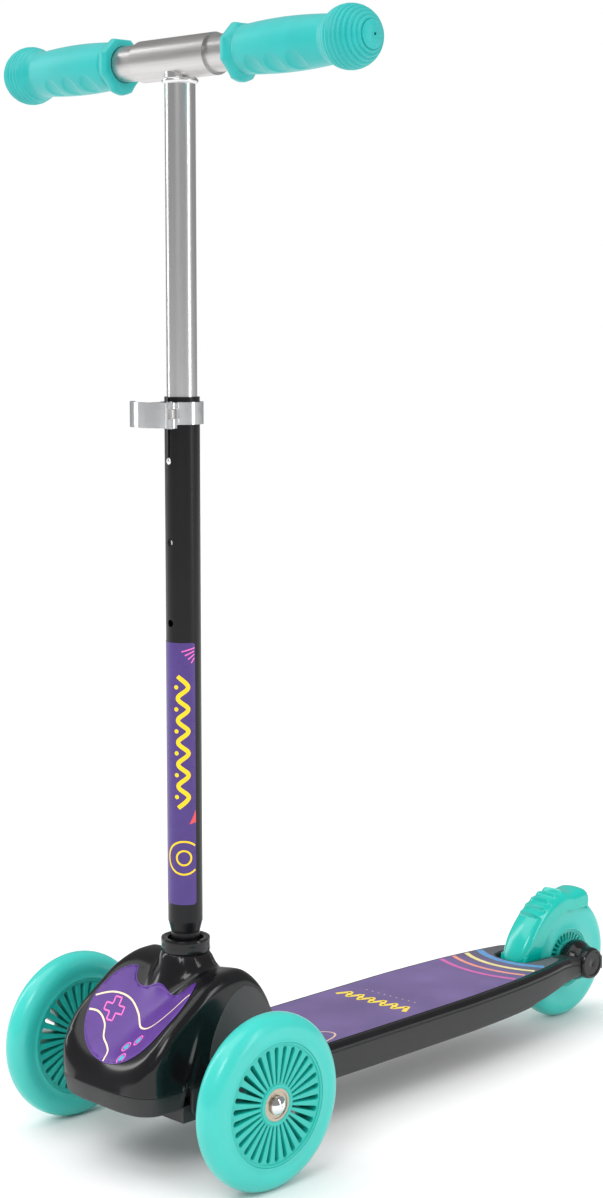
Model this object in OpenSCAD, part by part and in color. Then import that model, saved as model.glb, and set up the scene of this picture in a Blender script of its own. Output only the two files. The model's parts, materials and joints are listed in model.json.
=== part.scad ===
// Three-wheeled lean-to-steer kick scooter for a small child.
// X is left-right, Y runs from the nose to the rear wheel, Z is up and the floor is Z = 0.
// The origin is the centre of the footprint on the floor.

/* [Wheels] */
// Diameter of the two front wheels
front_wheel_d = 120; // [110:1:130]
// Diameter of the rear wheel
rear_wheel_d = 100; // [90:1:106]
// Width of the tyre across its rounded tread
tyre_w = 21; // [19:0.5:23]
// Width of a wheel core between its flat faces
core_w = 19.6; // [19:0.1:21]
// Diameter of the front wheel core, where the tyre is moulded on
front_core_d = 84; // [76:1:92]
// Diameter of the rear wheel core
rear_core_d = 47; // [44:1:56]
// Number of slots in each wheel core
slot_count = 30; // [24:1:32]
// Width of a slot at its outer, rounded end
slot_w = 3.4; // [2.4:0.1:4]
// Distance between the middle planes of the front wheels
track = 201; // [195:1:215]
// Distance from the front axles to the rear axle
wheelbase = 432; // [400:1:520]
// Outer diameter of a wheel bearing
bearing_d = 22; // [22:1:24]
// Width of a wheel bearing
bearing_w = 7; // [6:0.5:8]
// Diameter of every wheel axle bolt
axle_d = 7.9; // [7:0.1:8.4]

/* [Deck] */
// Height of the deck's top film above the floor
deck_top = 60; // [58:1:68]
// Height of the deck's side walls
deck_h = 27; // [24:1:30]
// Width of the deck over most of its length
deck_w = 99; // [90:1:116]
// Wall of the deck moulding
deck_wall = 3; // [2.5:0.25:4]
// Thickness of the printed film on the deck
film_t = 0.6; // [0.4:0.1:1]
// Width of the plain border round the film
film_border = 5; // [3:0.5:8]
// Diameter of the round bosses that carry the rear axle
rear_boss_d = 32; // [28:1:36]

/* [Front housing] */
// Width of the housing between its flat side walls
housing_w = 100; // [96:1:106]
// Width of the nose in front of the side walls
nose_w = 98; // [92:1:100]
// Distance from the front axles to the tip of the nose
nose_reach = 64; // [62:1:72]
// Height of the skirt's lower edge above the floor
skirt_bottom = 47; // [42:1:48]
// Height of the matt skirt band
skirt_h = 14; // [10:1:16]
// Height of the top of the side domes
dome_top = 133; // [130:1:138]
// Wall of the housing shells
shell_wall = 2.8; // [2:0.2:3.2]
// Outer diameter of the collar round the steering tube
collar_d = 34; // [32:1:38]
// Height of that collar
collar_h = 9; // [8:1:14]

/* [Steering column] */
// Distance that the steering tube stands behind the front axles
stem_back = 18; // [14:1:22]
// Outer diameter of the lower, black tube
lower_tube_d = 24; // [23:0.5:28]
// Wall of the lower tube
lower_tube_wall = 1.5; // [1.2:0.1:2]
// Height of the top of the lower tube
lower_tube_top = 522; // [500:1:560]
// Outer diameter of the lower tube where it is swaged down to plug in
plug_d = 20; // [18:0.5:21]
// Outer diameter of the upper, silver tube
upper_tube_d = 20.6; // [19:0.1:20.8]
// Wall of the upper tube
upper_tube_wall = 1.5; // [1.2:0.1:2]
// Height of the handlebar's axis when the bar is fully raised
bar_height = 745; // [700:1:790]
// Distance between the height holes
height_step = 55; // [40:1:60]
// Diameter of the snap button
button_d = 4.6; // [4:0.1:5.4]

/* [Clamp] */
// Height of the clamp collar
clamp_h = 15; // [12:1:18]
// Wall of the clamp collar
clamp_wall = 2.5; // [2:0.25:3.5]
// Diameter of the clamp bolt
clamp_bolt_d = 5; // [4:0.5:5.5]
// Distance from the clamp collar to the outside of the lever
lever_reach = 15.5; // [15:0.5:18]

/* [Handlebar] */
// Length of the handlebar over the ends of its grips
bar_w = 356; // [330:1:400]
// Outer diameter of the cross bar
cross_bar_d = 24; // [22:0.5:24.5]
// Outer diameter of the tee sleeve that holds the cross bar
tee_d = 27.6; // [27:0.2:30]
// Length of the tee sleeve
tee_w = 72; // [60:1:80]
// Diameter of the round end of a grip
ball_d = 41; // [36:1:46]
// Length of a grip
grip_len = 122; // [105:1:140]

/* [Steering] */
// Distance between the kingpins
kingpin_gap = 68; // [66:1:72]
// Angle that the kingpins lean back from upright
kingpin_lean = 30; // [20:1:35]
// Diameter of a kingpin
kingpin_d = 9; // [7:0.5:9.5]
// Length of the steering arms
arm_len = 30; // [28:1:32]

/* [Brake] */
// Gap between the brake fender and the tread
fender_gap = 4.2; // [3.6:0.2:5]
// Thickness of the brake fender
fender_t = 3; // [2.4:0.2:3.6]

/* [Hidden] */

$fn = 64;
// Radial clearance of a pin or shaft that turns or slides
run_gap = 0.05;
// Radial clearance of pieces that seat in each other and stay still
seat_gap = 0.02;
// Clearance between faces that pass or sit near each other
face_gap = 0.3;
// Overshoot of a cutting solid
cut = 1;

wheel_r = front_wheel_d / 2;
rear_r = rear_wheel_d / 2;
axle_y = (nose_reach - wheelbase - rear_r) / 2;
stem_y = stem_back;
axle_r = axle_d / 2;
bearing_bore_r = axle_r + run_gap;
hub_r = bearing_d / 2;

deck_under = deck_top - deck_h;
deck_skin = deck_top - film_t;
deck_front = 46;
slot_front = wheelbase - rear_r - 15;
deck_rear = wheelbase + 10;
slot_half = tyre_w / 2 + 7.5;
arm_out = slot_half + 15;

skirt_top = skirt_bottom + skirt_h;
side_x = housing_w / 2;
window_half = 12;
window_sill = wheel_r - 10.5;
dome_y = 27;
nose_corner = 22;
dome_r = 30;
neck_top = dome_top + 7;
collar_bore = lower_tube_d + 0.8;

lower_r = lower_tube_d / 2;
lower_bore_r = lower_r - lower_tube_wall;
upper_r = min(upper_tube_d / 2, lower_bore_r - run_gap);
upper_bore_r = upper_r - upper_tube_wall;
plug_r = plug_d / 2;
plug_bottom = 66;
taper_low = neck_top + collar_h + 4;
taper_high = taper_low + 8;
pin_high = lower_tube_top - 43;
upper_bottom = pin_high - 79;
button_r = button_d / 2;
button_reach = lower_r + 1.6;

clamp_z = lower_tube_top - 3.3 - clamp_h;
clamp_mid = clamp_z + clamp_h / 2;
clamp_r = lower_r + clamp_wall;
ear_y = -(clamp_r + 5);
ear_half_gap = 1;
ear_t = 3;
bolt_r = clamp_bolt_d / 2;
lever_boss_r = 5.2;
pin_x = ear_half_gap + ear_t + lever_boss_r + face_gap;
lever_t = 3;
lever_r = clamp_r + lever_reach;
eye_h = clamp_bolt_d + 0.8;
lever_cx = -8;
lever_from = -48;
lever_to = -145;
lever_h = clamp_h + 2;
lever_drop = 1;

tee_r = tee_d / 2;
bar_r = cross_bar_d / 2;
grip_end = bar_w / 2;
grip_start = grip_end - grip_len;
ball_r = ball_d / 2;
bar_half = grip_end - 26;

kp_x = kingpin_gap / 2;
kp_r = kingpin_d / 2;
barrel_r = kp_r + 4;
barrel_h = 30;
lug_t = 7;
rod_t = 5;
rod_eye_r = 5.4;
rod_r = rod_t / 2;
pin_r = 3;
stub_r = 8;
wheel_in = track / 2 - core_w / 2;

fender_in = rear_r + fender_gap;
fender_out = fender_in + fender_t;
fender_half = tyre_w / 2 + 3;
pivot_y = wheelbase - fender_out - 1;
pivot_z = deck_top - 12;
fender_front = 167;
fender_rear = 66;

function arc(cx, cy, r, a0, a1, n) =
    [for (i = [0:n]) [cx + r * cos(a0 + (a1 - a0) * i / n), cy + r * sin(a0 + (a1 - a0) * i / n)]];

// Puts children, drawn with the front axles at Y = 0, into the part's own frame
module placed() {
    translate([0, axle_y, 0]) children();
}

// A cylinder along X, centred on the origin of its own Y and Z
module x_rod(r, x0, x1) {
    translate([x0, 0, 0]) rotate([0, 90, 0]) cylinder(r = r, h = x1 - x0);
}

// A cylinder along Y
module y_rod(r, y0, y1) {
    translate([0, y1, 0]) rotate([90, 0, 0]) cylinder(r = r, h = y1 - y0);
}

// A helical wire of round section, standing on Z = 0
module coil(r, wire_r, height, turns, sides = 8, steps = 18) {
    n = turns * steps;
    rise = height - 2 * wire_r;
    pts = [for (i = [0:n]) for (k = [0:sides - 1])
        let (a = 360 * i / steps, b = 360 * k / sides)
        [(r + wire_r * cos(b)) * cos(a), (r + wire_r * cos(b)) * sin(a),
         wire_r + rise * i / n + wire_r * sin(b)]];
    side_faces = [for (i = [0:n - 1]) for (k = [0:sides - 1])
        [i * sides + k, i * sides + (k + 1) % sides,
         (i + 1) * sides + (k + 1) % sides, (i + 1) * sides + k]];
    ends = [[for (k = [0:sides - 1]) sides - 1 - k], [for (k = [0:sides - 1]) n * sides + k]];
    polyhedron(points = pts, faces = concat(side_faces, ends));
}

// ---------- wheels ----------

module tyre(r, core_r) {
    half = tyre_w / 2;
    rotate([0, 90, 0]) rotate_extrude() difference() {
        union() {
            translate([core_r, -core_w / 2]) square([r - half - core_r, core_w]);
            translate([r - half, 0]) circle(r = half);
        }
        translate([0, -tyre_w]) square([core_r, 2 * tyre_w]);
    }
}

module core_outline(core_r) {
    rim = 2.7;
    slot_in = hub_r + 3.2;
    slot_out = core_r - rim - slot_w / 2;
    pitch_in = 360 / slot_count;
    narrow = slot_in * sin(pitch_in / 2) * 0.9;
    difference() {
        circle(r = core_r, $fn = 128);
        circle(r = hub_r + seat_gap);
        for (i = [0:slot_count - 1]) rotate(i * pitch_in) {
            polygon([[slot_in, -narrow / 2], [slot_out, -slot_w / 2],
                [slot_out, slot_w / 2], [slot_in, narrow / 2]]);
            translate([slot_out, 0]) circle(r = slot_w / 2, $fn = 16);
        }
    }
}

module core(core_r) {
    seat = core_w - 2 * bearing_w - 1;
    rotate([0, 90, 0]) {
        translate([0, 0, -core_w / 2]) linear_extrude(core_w) core_outline(core_r);
        translate([0, 0, -seat / 2]) difference() {
            cylinder(r = hub_r + 1, h = seat);
            translate([0, 0, -cut]) cylinder(r = hub_r - 2, h = seat + 2 * cut);
        }
    }
}

module bearings() {
    seat = core_w / 2 - bearing_w - 0.5;
    for (s = [-1, 1]) scale([s, 1, 1]) rotate([0, 90, 0]) rotate_extrude() difference() {
        translate([bearing_bore_r, seat]) square([hub_r - bearing_bore_r, bearing_w]);
        translate([axle_r + 2.4, seat + bearing_w - 0.5]) square([hub_r - axle_r - 4.2, cut]);
    }
}

module spacer() {
    half = core_w / 2 - bearing_w - 0.5;
    difference() {
        x_rod(axle_r + 2, -half, half);
        x_rod(bearing_bore_r, -half - cut, half + cut);
    }
}

module at_front(side) {
    placed() translate([side * track / 2, 0, wheel_r]) children();
}

module at_rear() {
    placed() translate([0, wheelbase, rear_r]) children();
}

module front_tyre_left() { color([0.27, 0.88, 0.82]) at_front(-1) tyre(wheel_r, front_core_d / 2); }
module front_tyre_right() { color([0.27, 0.88, 0.82]) at_front(1) tyre(wheel_r, front_core_d / 2); }
module front_core_left() { color([0.25, 0.83, 0.76]) at_front(-1) core(front_core_d / 2); }
module front_core_right() { color([0.25, 0.83, 0.76]) at_front(1) core(front_core_d / 2); }
module front_bearings_left() { color("silver") at_front(-1) bearings(); }
module front_bearings_right() { color("silver") at_front(1) bearings(); }
module front_spacer_left() { color("gray") at_front(-1) spacer(); }
module front_spacer_right() { color("gray") at_front(1) spacer(); }
module rear_tyre() { color([0.27, 0.88, 0.82]) at_rear() tyre(rear_r, rear_core_d / 2); }
module rear_core() { color([0.25, 0.83, 0.76]) at_rear() core(rear_core_d / 2); }
module rear_bearings() { color("silver") at_rear() bearings(); }
module rear_spacer() { color("gray") at_rear() spacer(); }

// The bolt that a front wheel runs on, drawn for the right side
module axle_bolt() {
    head = core_w / 2 - 0.3;
    x_rod(axle_r, kp_x - track / 2 + barrel_r + 2, head);
    translate([head, 0, 0]) rotate([0, 90, 0]) {
        cylinder(r = 6.4, h = 1.5);
        translate([0, 0, 1.5]) intersection() {
            translate([0, 0, -5.2]) sphere(r = 8.2);
            cylinder(r = 6.4, h = 4);
        }
    }
}

module axle_bolt_right() { color("silver") at_front(1) axle_bolt(); }
module axle_bolt_left() { color("silver") at_front(-1) mirror([1, 0, 0]) axle_bolt(); }

// ---------- steering ----------

// Frame of the right kingpin, whose axis becomes Z
module at_kingpin(side) {
    placed() translate([side * kp_x, 0, wheel_r]) rotate([-kingpin_lean, 0, 0]) children();
}

// Right-hand knuckle: the barrel on the kingpin, the stub for the wheel and the steering arm
module knuckle() {
    arm_t = 7;
    difference() {
        union() {
            at_kingpin(1) translate([0, 0, -barrel_h / 2]) cylinder(r = barrel_r, h = barrel_h);
            placed() translate([0, 0, wheel_r]) x_rod(stub_r, kp_x, wheel_in - 1.2);
            placed() translate([0, 0, wheel_r]) x_rod(axle_r + 2.2, kp_x, wheel_in + 0.2);
            at_kingpin(1) translate([0, 0, -barrel_h / 2]) linear_extrude(arm_t) {
                translate([-5.5, -arm_len]) square([11, arm_len]);
                translate([0, -arm_len]) circle(r = 6.5);
            }
        }
        at_kingpin(1) translate([0, 0, -barrel_h / 2 - cut])
            cylinder(r = kp_r + run_gap, h = barrel_h + 2 * cut);
        at_kingpin(1) translate([0, -arm_len, -barrel_h / 2 - cut])
            cylinder(r = pin_r + 0.02, h = arm_t + 2 * cut);
        placed() translate([0, 0, wheel_r])
            x_rod(axle_r + 0.02, kp_x + barrel_r + 2, wheel_in + cut);
    }
}

module knuckle_right() { color([0.2, 0.2, 0.2]) knuckle(); }
module knuckle_left() { color([0.2, 0.2, 0.2]) mirror([1, 0, 0]) knuckle(); }

rod_z = -barrel_h / 2 + 7 + face_gap;
rod_stop = kp_x - 13;

module tie_pin(side) {
    at_kingpin(side) translate([0, -arm_len, -barrel_h / 2 - 1.5]) {
        cylinder(r = pin_r, h = 1.5 + 7 + rod_t + 3);
        translate([0, 0, 9]) translate([0, 0, rod_t]) cylinder(r = 5, h = 2);
        cylinder(r = 5, h = 1.4);
    }
}

module tie_pin_right() { color("silver") tie_pin(1); }
module tie_pin_left() { color("silver") tie_pin(-1); }

// The rod lies in a plane square to the kingpins, so it keeps level as the arms swing
module tie_rod() {
    color([0.3, 0.3, 0.32]) placed() translate([0, 0, wheel_r]) rotate([-kingpin_lean, 0, 0])
        translate([0, -arm_len, rod_z]) difference() {
            union() {
                for (s = [-1, 1]) {
                    translate([s * kp_x, 0, 0]) cylinder(r = rod_eye_r, h = rod_t);
                    scale([s, 1, 1]) translate([rod_stop, -4, 0]) cube([8, 8, rod_t]);
                    translate([0, 0, rod_t / 2]) x_rod(6, s * rod_stop - 1.2, s * rod_stop + 1.2);
                }
                translate([0, 0, rod_t / 2]) x_rod(rod_r, -rod_stop - 4, rod_stop + 4);
            }
            for (s = [-1, 1]) translate([s * kp_x, 0, -cut])
                cylinder(r = pin_r + run_gap, h = rod_t + 2 * cut);
        }
}

module at_rod_middle() {
    placed() translate([0, 0, wheel_r]) rotate([-kingpin_lean, 0, 0])
        translate([0, -arm_len, rod_z + rod_t / 2]) children();
}

module centring_spring_right() {
    color("silver") at_rod_middle() translate([lug_half + 0.2, 0, 0]) rotate([0, 90, 0])
        coil(4.9, 0.6, rod_stop - 1.2 - lug_half - 0.5, 6);
}

module centring_spring_left() {
    color("silver") mirror([1, 0, 0]) at_rod_middle() translate([lug_half + 0.2, 0, 0])
        rotate([0, 90, 0]) coil(4.9, 0.6, rod_stop - 1.2 - lug_half - 0.5, 6);
}

module kingpins() {
    color("silver") for (s = [-1, 1]) at_kingpin(s) {
        len = barrel_h / 2 + lug_t + face_gap;
        translate([0, 0, -len]) cylinder(r = kp_r, h = 2 * len + 7);
        translate([0, 0, -len - 3.5]) cylinder(r = kp_r + 3, h = 3.5);
    }
}

module kingpin_nuts() {
    color("gray") for (s = [-1, 1]) at_kingpin(s)
        translate([0, 0, barrel_h / 2 + lug_t + face_gap]) difference() {
            cylinder(r = kp_r + 3.6, h = 5.5, $fn = 6);
            translate([0, 0, -cut]) cylinder(r = kp_r + 0.02, h = 8);
        }
}

lug_half = 4;
base_half = housing_w / 2 - 4;
base_low = deck_under + 4;
base_top = skirt_bottom + 1.5;
base_front = -26;
base_rear = deck_front - face_gap / 2;
tongue_rear = deck_front + 42;
tongue_lap = 0.1;
web_t = 5;
tongue_half = deck_w / 2 - deck_wall - 6;
tongue_top = deck_skin - deck_wall - 4;
screw_xs = tongue_half - 9;

// The cast frame that joins the steering tube, the kingpins and the deck
module steering_base() {
    color([0.16, 0.16, 0.17]) difference() {
        union() {
            placed() translate([-base_half, base_front, base_low])
                cube([2 * base_half, base_rear - base_front, base_top - base_low]);
            placed() translate([-tongue_half, base_rear - tongue_lap, base_low])
                cube([2 * tongue_half, tongue_rear - base_rear + tongue_lap, tongue_top - base_low]);
            placed() translate([0, stem_y, base_low])
                cylinder(r = plug_r + 4, h = dome_top - 8 - base_low);
            placed() translate([-lug_half, -arm_len - 8, base_low])
                cube([2 * lug_half, arm_len - 10, wheel_r + 20 - base_low]);
            for (s = [-1, 1]) {
                at_kingpin(s) for (z = [-barrel_h / 2 - lug_t - face_gap, barrel_h / 2 + face_gap])
                    translate([0, 0, z]) {
                        cylinder(r = barrel_r - 1, h = lug_t);
                        translate([s > 0 ? -barrel_r - web_t - 1 : 0, -barrel_r + 1, 0])
                            cube([barrel_r + web_t + 1, 2 * barrel_r - 2, lug_t]);
                    }
                at_kingpin(s) translate([s > 0 ? -barrel_r - web_t - 1 : barrel_r + 1,
                    -barrel_r + 1, -barrel_h / 2 - lug_t - face_gap])
                    cube([web_t, 2 * barrel_r - 2, barrel_h + 2 * lug_t + 2 * face_gap]);
            }
        }
        // room for the barrels of the knuckles and the heads of the kingpins
        for (s = [-1, 1]) at_kingpin(s) {
            translate([0, 0, -barrel_h / 2 - face_gap])
                cylinder(r = barrel_r + 0.8, h = barrel_h + 2 * face_gap);
            translate([0, 0, -80])
                cylinder(r = kp_r + 3.4, h = 80 - barrel_h / 2 - lug_t - face_gap);
        }
        // seat of the swaged tube, closed at its foot
        placed() translate([0, stem_y, plug_bottom]) cylinder(r = plug_r + run_gap, h = 200);
        // kingpin holes
        for (s = [-1, 1]) at_kingpin(s) translate([0, 0, -60])
            cylinder(r = kp_r + 0.02, h = 120);
        // room for the centring rod where it passes the front lug
        at_rod_middle() x_rod(rod_r + 1.2, -lug_half - cut, lug_half + cut);
        // cross bolt of the steering tube
        placed() translate([0, stem_y, stem_bolt_z]) y_rod(2.52, -40, 40);
        // deck screws
        placed() for (p = deck_screw_xy) translate([p[0], p[1], base_low - cut])
            cylinder(r = 2.2, h = 60);
        // shell screws
        placed() for (p = shell_screw_xy) translate([p[0], p[1], base_low - cut])
            cylinder(r = 2.2, h = 60);
        // the floor of the casting stays level
        placed() translate([-100, -100, -50]) cube([200, 300, 50 + base_low]);
    }
}

stem_bolt_z = 92;
deck_screw_xy = [for (x = [-screw_xs, screw_xs]) for (y = [deck_front + 9, tongue_rear - 8])
    [x, y]];
shell_screw_xy = [for (s = [-1, 1]) [s * (base_half - 8), deck_front - 10]];

module deck_screws() {
    color("silver") placed() for (p = deck_screw_xy) translate([p[0], p[1], base_low - 2.4]) {
        cylinder(r = 4, h = 2.4);
        cylinder(r = 2, h = tongue_top - base_low + 2.4 + 5);
    }
}

module shell_screws() {
    color("silver") placed() for (p = shell_screw_xy) translate([p[0], p[1], base_low - 2.4]) {
        cylinder(r = 4, h = 2.4);
        cylinder(r = 2, h = skirt_top - base_low + 2.4 + 12);
    }
}

// ---------- front housing ----------

// Outer form of the nose, shrunk by inset on every side
module nose_form(inset) {
    half = nose_w / 2;
    hull() {
        for (s = [-1, 1]) {
            translate([s * (half - nose_corner), -nose_reach + nose_corner, skirt_top])
                cylinder(r = nose_corner - inset, h = 2, $fn = 32);
            translate([s * (half - 10), 20, skirt_top])
                cylinder(r = 10 - inset, h = 20, $fn = 24);
            translate([s * (half - 20.5), -nose_reach + 22, skirt_top + 6])
                sphere(r = 20 - inset, $fn = 32);
            translate([s * (half - 25), 10, dome_top - 20]) sphere(r = 17 - inset, $fn = 32);
        }
    }
}

// Outer form of the side domes, one arch that runs across the whole housing
module dome_form(inset) {
    half = side_x - inset;
    hull() {
        translate([0, dome_y, dome_top - dome_r]) {
            x_rod(dome_r - inset, -half + 9, half - 9, $fn = 40);
            x_rod(dome_r - inset - 4, -half, half, $fn = 40);
        }
        translate([-half, dome_y - 38 + inset, deck_top + 0.3]) cube([2 * half, 76 - 2 * inset, 2]);
    }
}

// Arch of the matt side panels
module side_arch(grow) {
    rr = dome_r - 6 + grow;
    base_y = 31 + grow;
    translate([dome_y - 1, 0]) polygon(concat([[base_y, skirt_top - cut]],
        arc(0, dome_top - dome_r - 4, rr, 12, 168, 16), [[-base_y, skirt_top - cut]]));
}

module side_prism(grow, x0, x1) {
    for (s = [-1, 1]) scale([s, 1, 1]) translate([x0, 0, 0])
        rotate([90, 0, 90]) linear_extrude(x1 - x0) side_arch(grow);
}

// Solid form of the glossy shell
module shell_form() {
    neck_h = neck_top - dome_top + 14;
    nose_form(0);
    dome_form(0);
    translate([0, stem_y, neck_top - neck_h]) cylinder(r1 = 38, r2 = collar_d / 2, h = neck_h);
}

// Windows in both side walls, where the knuckles pass out
module side_windows() {
    for (s = [-1, 1]) translate([s * side_x, 0, wheel_r]) intersection() {
        x_rod(window_half, -6, 6);
        translate([-10, -50, window_sill - wheel_r]) cube([20, 100, 100]);
    }
}

// Pillars inside the shell that take its screws
module shell_bosses() {
    for (p = shell_screw_xy) translate([p[0], p[1], skirt_top]) cylinder(r = 5, h = dome_top - skirt_top);
}

module shell_screw_holes() {
    for (p = shell_screw_xy) translate([p[0], p[1], skirt_top - cut])
        cylinder(r = 2.02, h = 17);
}

module upper_shell() {
    color([0.05, 0.05, 0.05]) placed() difference() {
        shell_form();
        difference() {
            translate([0, 0, -0.01]) nose_form(shell_wall);
            shell_bosses();
        }
        difference() {
            translate([0, 0, -0.01]) dome_form(shell_wall);
            shell_bosses();
        }
        shell_screw_holes();
        translate([-100, -100, skirt_top - 50]) cube([200, 100 + deck_front, 50]);
        translate([0, stem_y, dome_top - 40]) cylinder(r = plug_r + 4 + face_gap, h = 60);
        side_prism(face_gap, side_x - shell_wall - 1.5, side_x + cut);
        side_windows();
    }
}

// Plan of the skirt, shrunk by inset
module skirt_plan(inset) {
    corner = nose_corner - inset;
    half = nose_w / 2 - inset;
    front = -nose_reach + inset;
    translate([-half + corner, front]) square([2 * (half - corner), 2 * corner]);
    for (s = [-1, 1]) translate([s * (half - corner), front + corner])
        circle(r = corner);
    translate([-half, front + corner]) square([2 * half, deck_front - face_gap - front - corner]);
}

module lower_shell() {
    color([0.23, 0.23, 0.23]) placed() {
        difference() {
            translate([0, 0, skirt_bottom]) linear_extrude(skirt_h) difference() {
                skirt_plan(0);
                skirt_plan(shell_wall);
            }
            side_windows();
        }
        difference() {
            side_prism(0, side_x - shell_wall, side_x);
            side_windows();
            translate([-100, -100, -50]) cube([200, 300, 50 + skirt_top - 2]);
        }
        // floor of the nose, screwed under the casting
        translate([0, 0, skirt_bottom]) linear_extrude(2) difference() {
            intersection() {
                skirt_plan(1);
                translate([-200, -200]) square([400, 200 + base_front - 0.5]);
            }
            translate([-lug_half - face_gap, -arm_len - 8 - face_gap])
                square([2 * lug_half + 2 * face_gap, 80]);
        }
    }
}

// Thin printed film on the sloping front of the nose
module front_film() {
    film = 0.5;
    color([0.42, 0.25, 0.69]) placed() intersection() {
        difference() {
            nose_form(-film);
            shell_form();
        }
        front_film_prism();
        translate([-60, -nose_reach + 6, skirt_top + 12]) cube([120, 120, 100]);
    }
}

module front_film_prism() {
    translate([0, 0, skirt_top]) linear_extrude(100) difference() {
        translate([0, -20]) circle(r = 37);
        translate([0, stem_y]) circle(r = 26);
        translate([-60, 0]) square([120, 60]);
    }
}

module socket_collar() {
    color([0.07, 0.07, 0.07]) placed() translate([0, stem_y, neck_top]) rotate_extrude()
        difference() {
            union() {
                translate([collar_bore / 2, 0]) square([(collar_d - collar_bore) / 2, collar_h - 1.5]);
                translate([collar_bore / 2 + 1, 0]) square([(collar_d - collar_bore) / 2 - 2, collar_h]);
            }
            translate([0, -cut]) square([collar_bore / 2, collar_h + 2 * cut]);
        }
}

// ---------- steering column ----------

module steering_tube() {
    color([0.06, 0.06, 0.07]) placed() translate([0, stem_y, 0]) difference() {
        rotate_extrude() polygon([[plug_r, plug_bottom], [plug_r, taper_low],
            [lower_r, taper_high], [lower_r, lower_tube_top],
            [lower_bore_r, lower_tube_top], [lower_bore_r, taper_high],
            [plug_r - lower_tube_wall, taper_low], [plug_r - lower_tube_wall, plug_bottom]]);
        for (i = [0:2]) translate([0, 0, pin_high - i * height_step])
            y_rod(button_r + 0.2, -lower_r - cut, 0);
        translate([-0.8, -lower_r - cut, pin_high])
            cube([1.6, lower_r, lower_tube_top - pin_high + cut]);
        translate([0, 0, stem_bolt_z]) y_rod(2.52, -20, 20);
    }
}

// Printed film wrapped round the front half of the lower tube
module tube_film() {
    film = 0.25;
    color([0.36, 0.24, 0.7]) placed() translate([0, stem_y, 174]) difference() {
        cylinder(r = lower_r + film, h = 182);
        translate([0, 0, -cut]) cylinder(r = lower_r, h = 190);
        translate([-20, 0, -cut]) cube([40, 40, 190]);
    }
}

module stem_bolt() {
    reach = plug_r + 4;
    color("silver") placed() translate([0, stem_y, stem_bolt_z]) {
        y_rod(2.5, -reach - 3.5, reach + 6);
        translate([0, -reach, 0]) rotate([90, 0, 0]) cylinder(r = 4.6, h = 3.5);
        translate([0, reach + 4.4, 0]) rotate([90, 0, 0]) cylinder(r = 4.8, h = 4.4, $fn = 6);
    }
}

module clamp_collar() {
    color([0.8, 0.81, 0.83]) placed() translate([0, stem_y, clamp_z]) difference() {
        union() {
            cylinder(r = clamp_r, h = clamp_h);
            translate([-ear_half_gap - ear_t, ear_y - 4.5, 0])
                cube([2 * (ear_half_gap + ear_t), -ear_y + 4.5, clamp_h]);
        }
        translate([0, 0, -cut]) cylinder(r = lower_r + 0.02, h = clamp_h + 2 * cut);
        translate([-ear_half_gap, -60, -cut]) cube([2 * ear_half_gap, 60, clamp_h + 2 * cut]);
        translate([0, ear_y, clamp_h / 2]) x_rod(bolt_r + 0.05, -20, 20);
    }
}

module at_clamp() {
    placed() translate([0, stem_y, clamp_mid]) children();
}

module clamp_bolt() {
    color("silver") at_clamp() translate([0, ear_y, 0]) difference() {
        union() {
            x_rod(bolt_r, -ear_half_gap - ear_t - 5.5, pin_x);
            translate([pin_x, 0, -eye_h / 2]) cylinder(r = 3.8, h = eye_h);
        }
        translate([pin_x, 0, -10]) cylinder(r = 2.02, h = 20);
    }
}

module clamp_nut() {
    color("silver") at_clamp() translate([-ear_half_gap - ear_t - 4.2, ear_y, 0]) difference() {
        x_rod(4.4, 0, 4.2);
        x_rod(bolt_r + 0.02, -cut, 6);
    }
}

module lever_pin() {
    color("silver") at_clamp() translate([pin_x, ear_y, -lever_h / 2 - lever_drop - 0.6])
        cylinder(r = 2, h = lever_h + 1.2);
}

// Curved quick-release lever, closed round the front of the clamp
module clamp_lever() {
    inner = lever_r - lever_t;
    color([0.82, 0.83, 0.85]) at_clamp() translate([0, 0, -lever_h / 2 - lever_drop]) difference() {
        union() {
            linear_extrude(lever_h) polygon(concat(
                arc(lever_cx, 0, lever_r, lever_from, lever_to, 32),
                arc(lever_cx, 0, inner, lever_to, lever_from, 32)));
            translate([pin_x, ear_y, 0]) cylinder(r = lever_boss_r, h = lever_h);
            translate([pin_x - 3.4, ear_y - 6.4, 0]) cube([5.4, 6.4, lever_h]);
        }
        // hole for the pin
        translate([pin_x, ear_y, -cut]) cylinder(r = 2 + run_gap, h = lever_h + 2 * cut);
        // room for the eye of the bolt
        translate([pin_x - 12, ear_y - 4.1, lever_h / 2 + lever_drop - eye_h / 2 - face_gap])
            cube([24, 20, eye_h + 2 * face_gap]);
        // notch in the free end
        translate([lever_cx + lever_r * cos(lever_to) - 4, lever_r * sin(lever_to) - 4,
            lever_h / 2 - 4]) cube([7.2, 8, 8]);
    }
}

// ---------- handlebar ----------

module upper_tube() {
    color([0.78, 0.78, 0.8]) placed() translate([0, stem_y, 0]) difference() {
        translate([0, 0, upper_bottom]) cylinder(r = upper_r, h = bar_height - 3 - upper_bottom);
        translate([0, 0, upper_bottom - cut])
            cylinder(r = upper_bore_r, h = bar_height - upper_bottom);
        translate([0, 0, pin_high]) y_rod(button_r + run_gap, -lower_r, 0);
        translate([0, 0, bar_height]) x_rod(tee_r, -40, 40);
    }
}

module tee_sleeve() {
    color([0.72, 0.72, 0.74]) placed() translate([0, stem_y, bar_height]) difference() {
        x_rod(tee_r, -tee_w / 2, tee_w / 2);
        x_rod(bar_r + 0.02, -tee_w, tee_w);
    }
}

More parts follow.
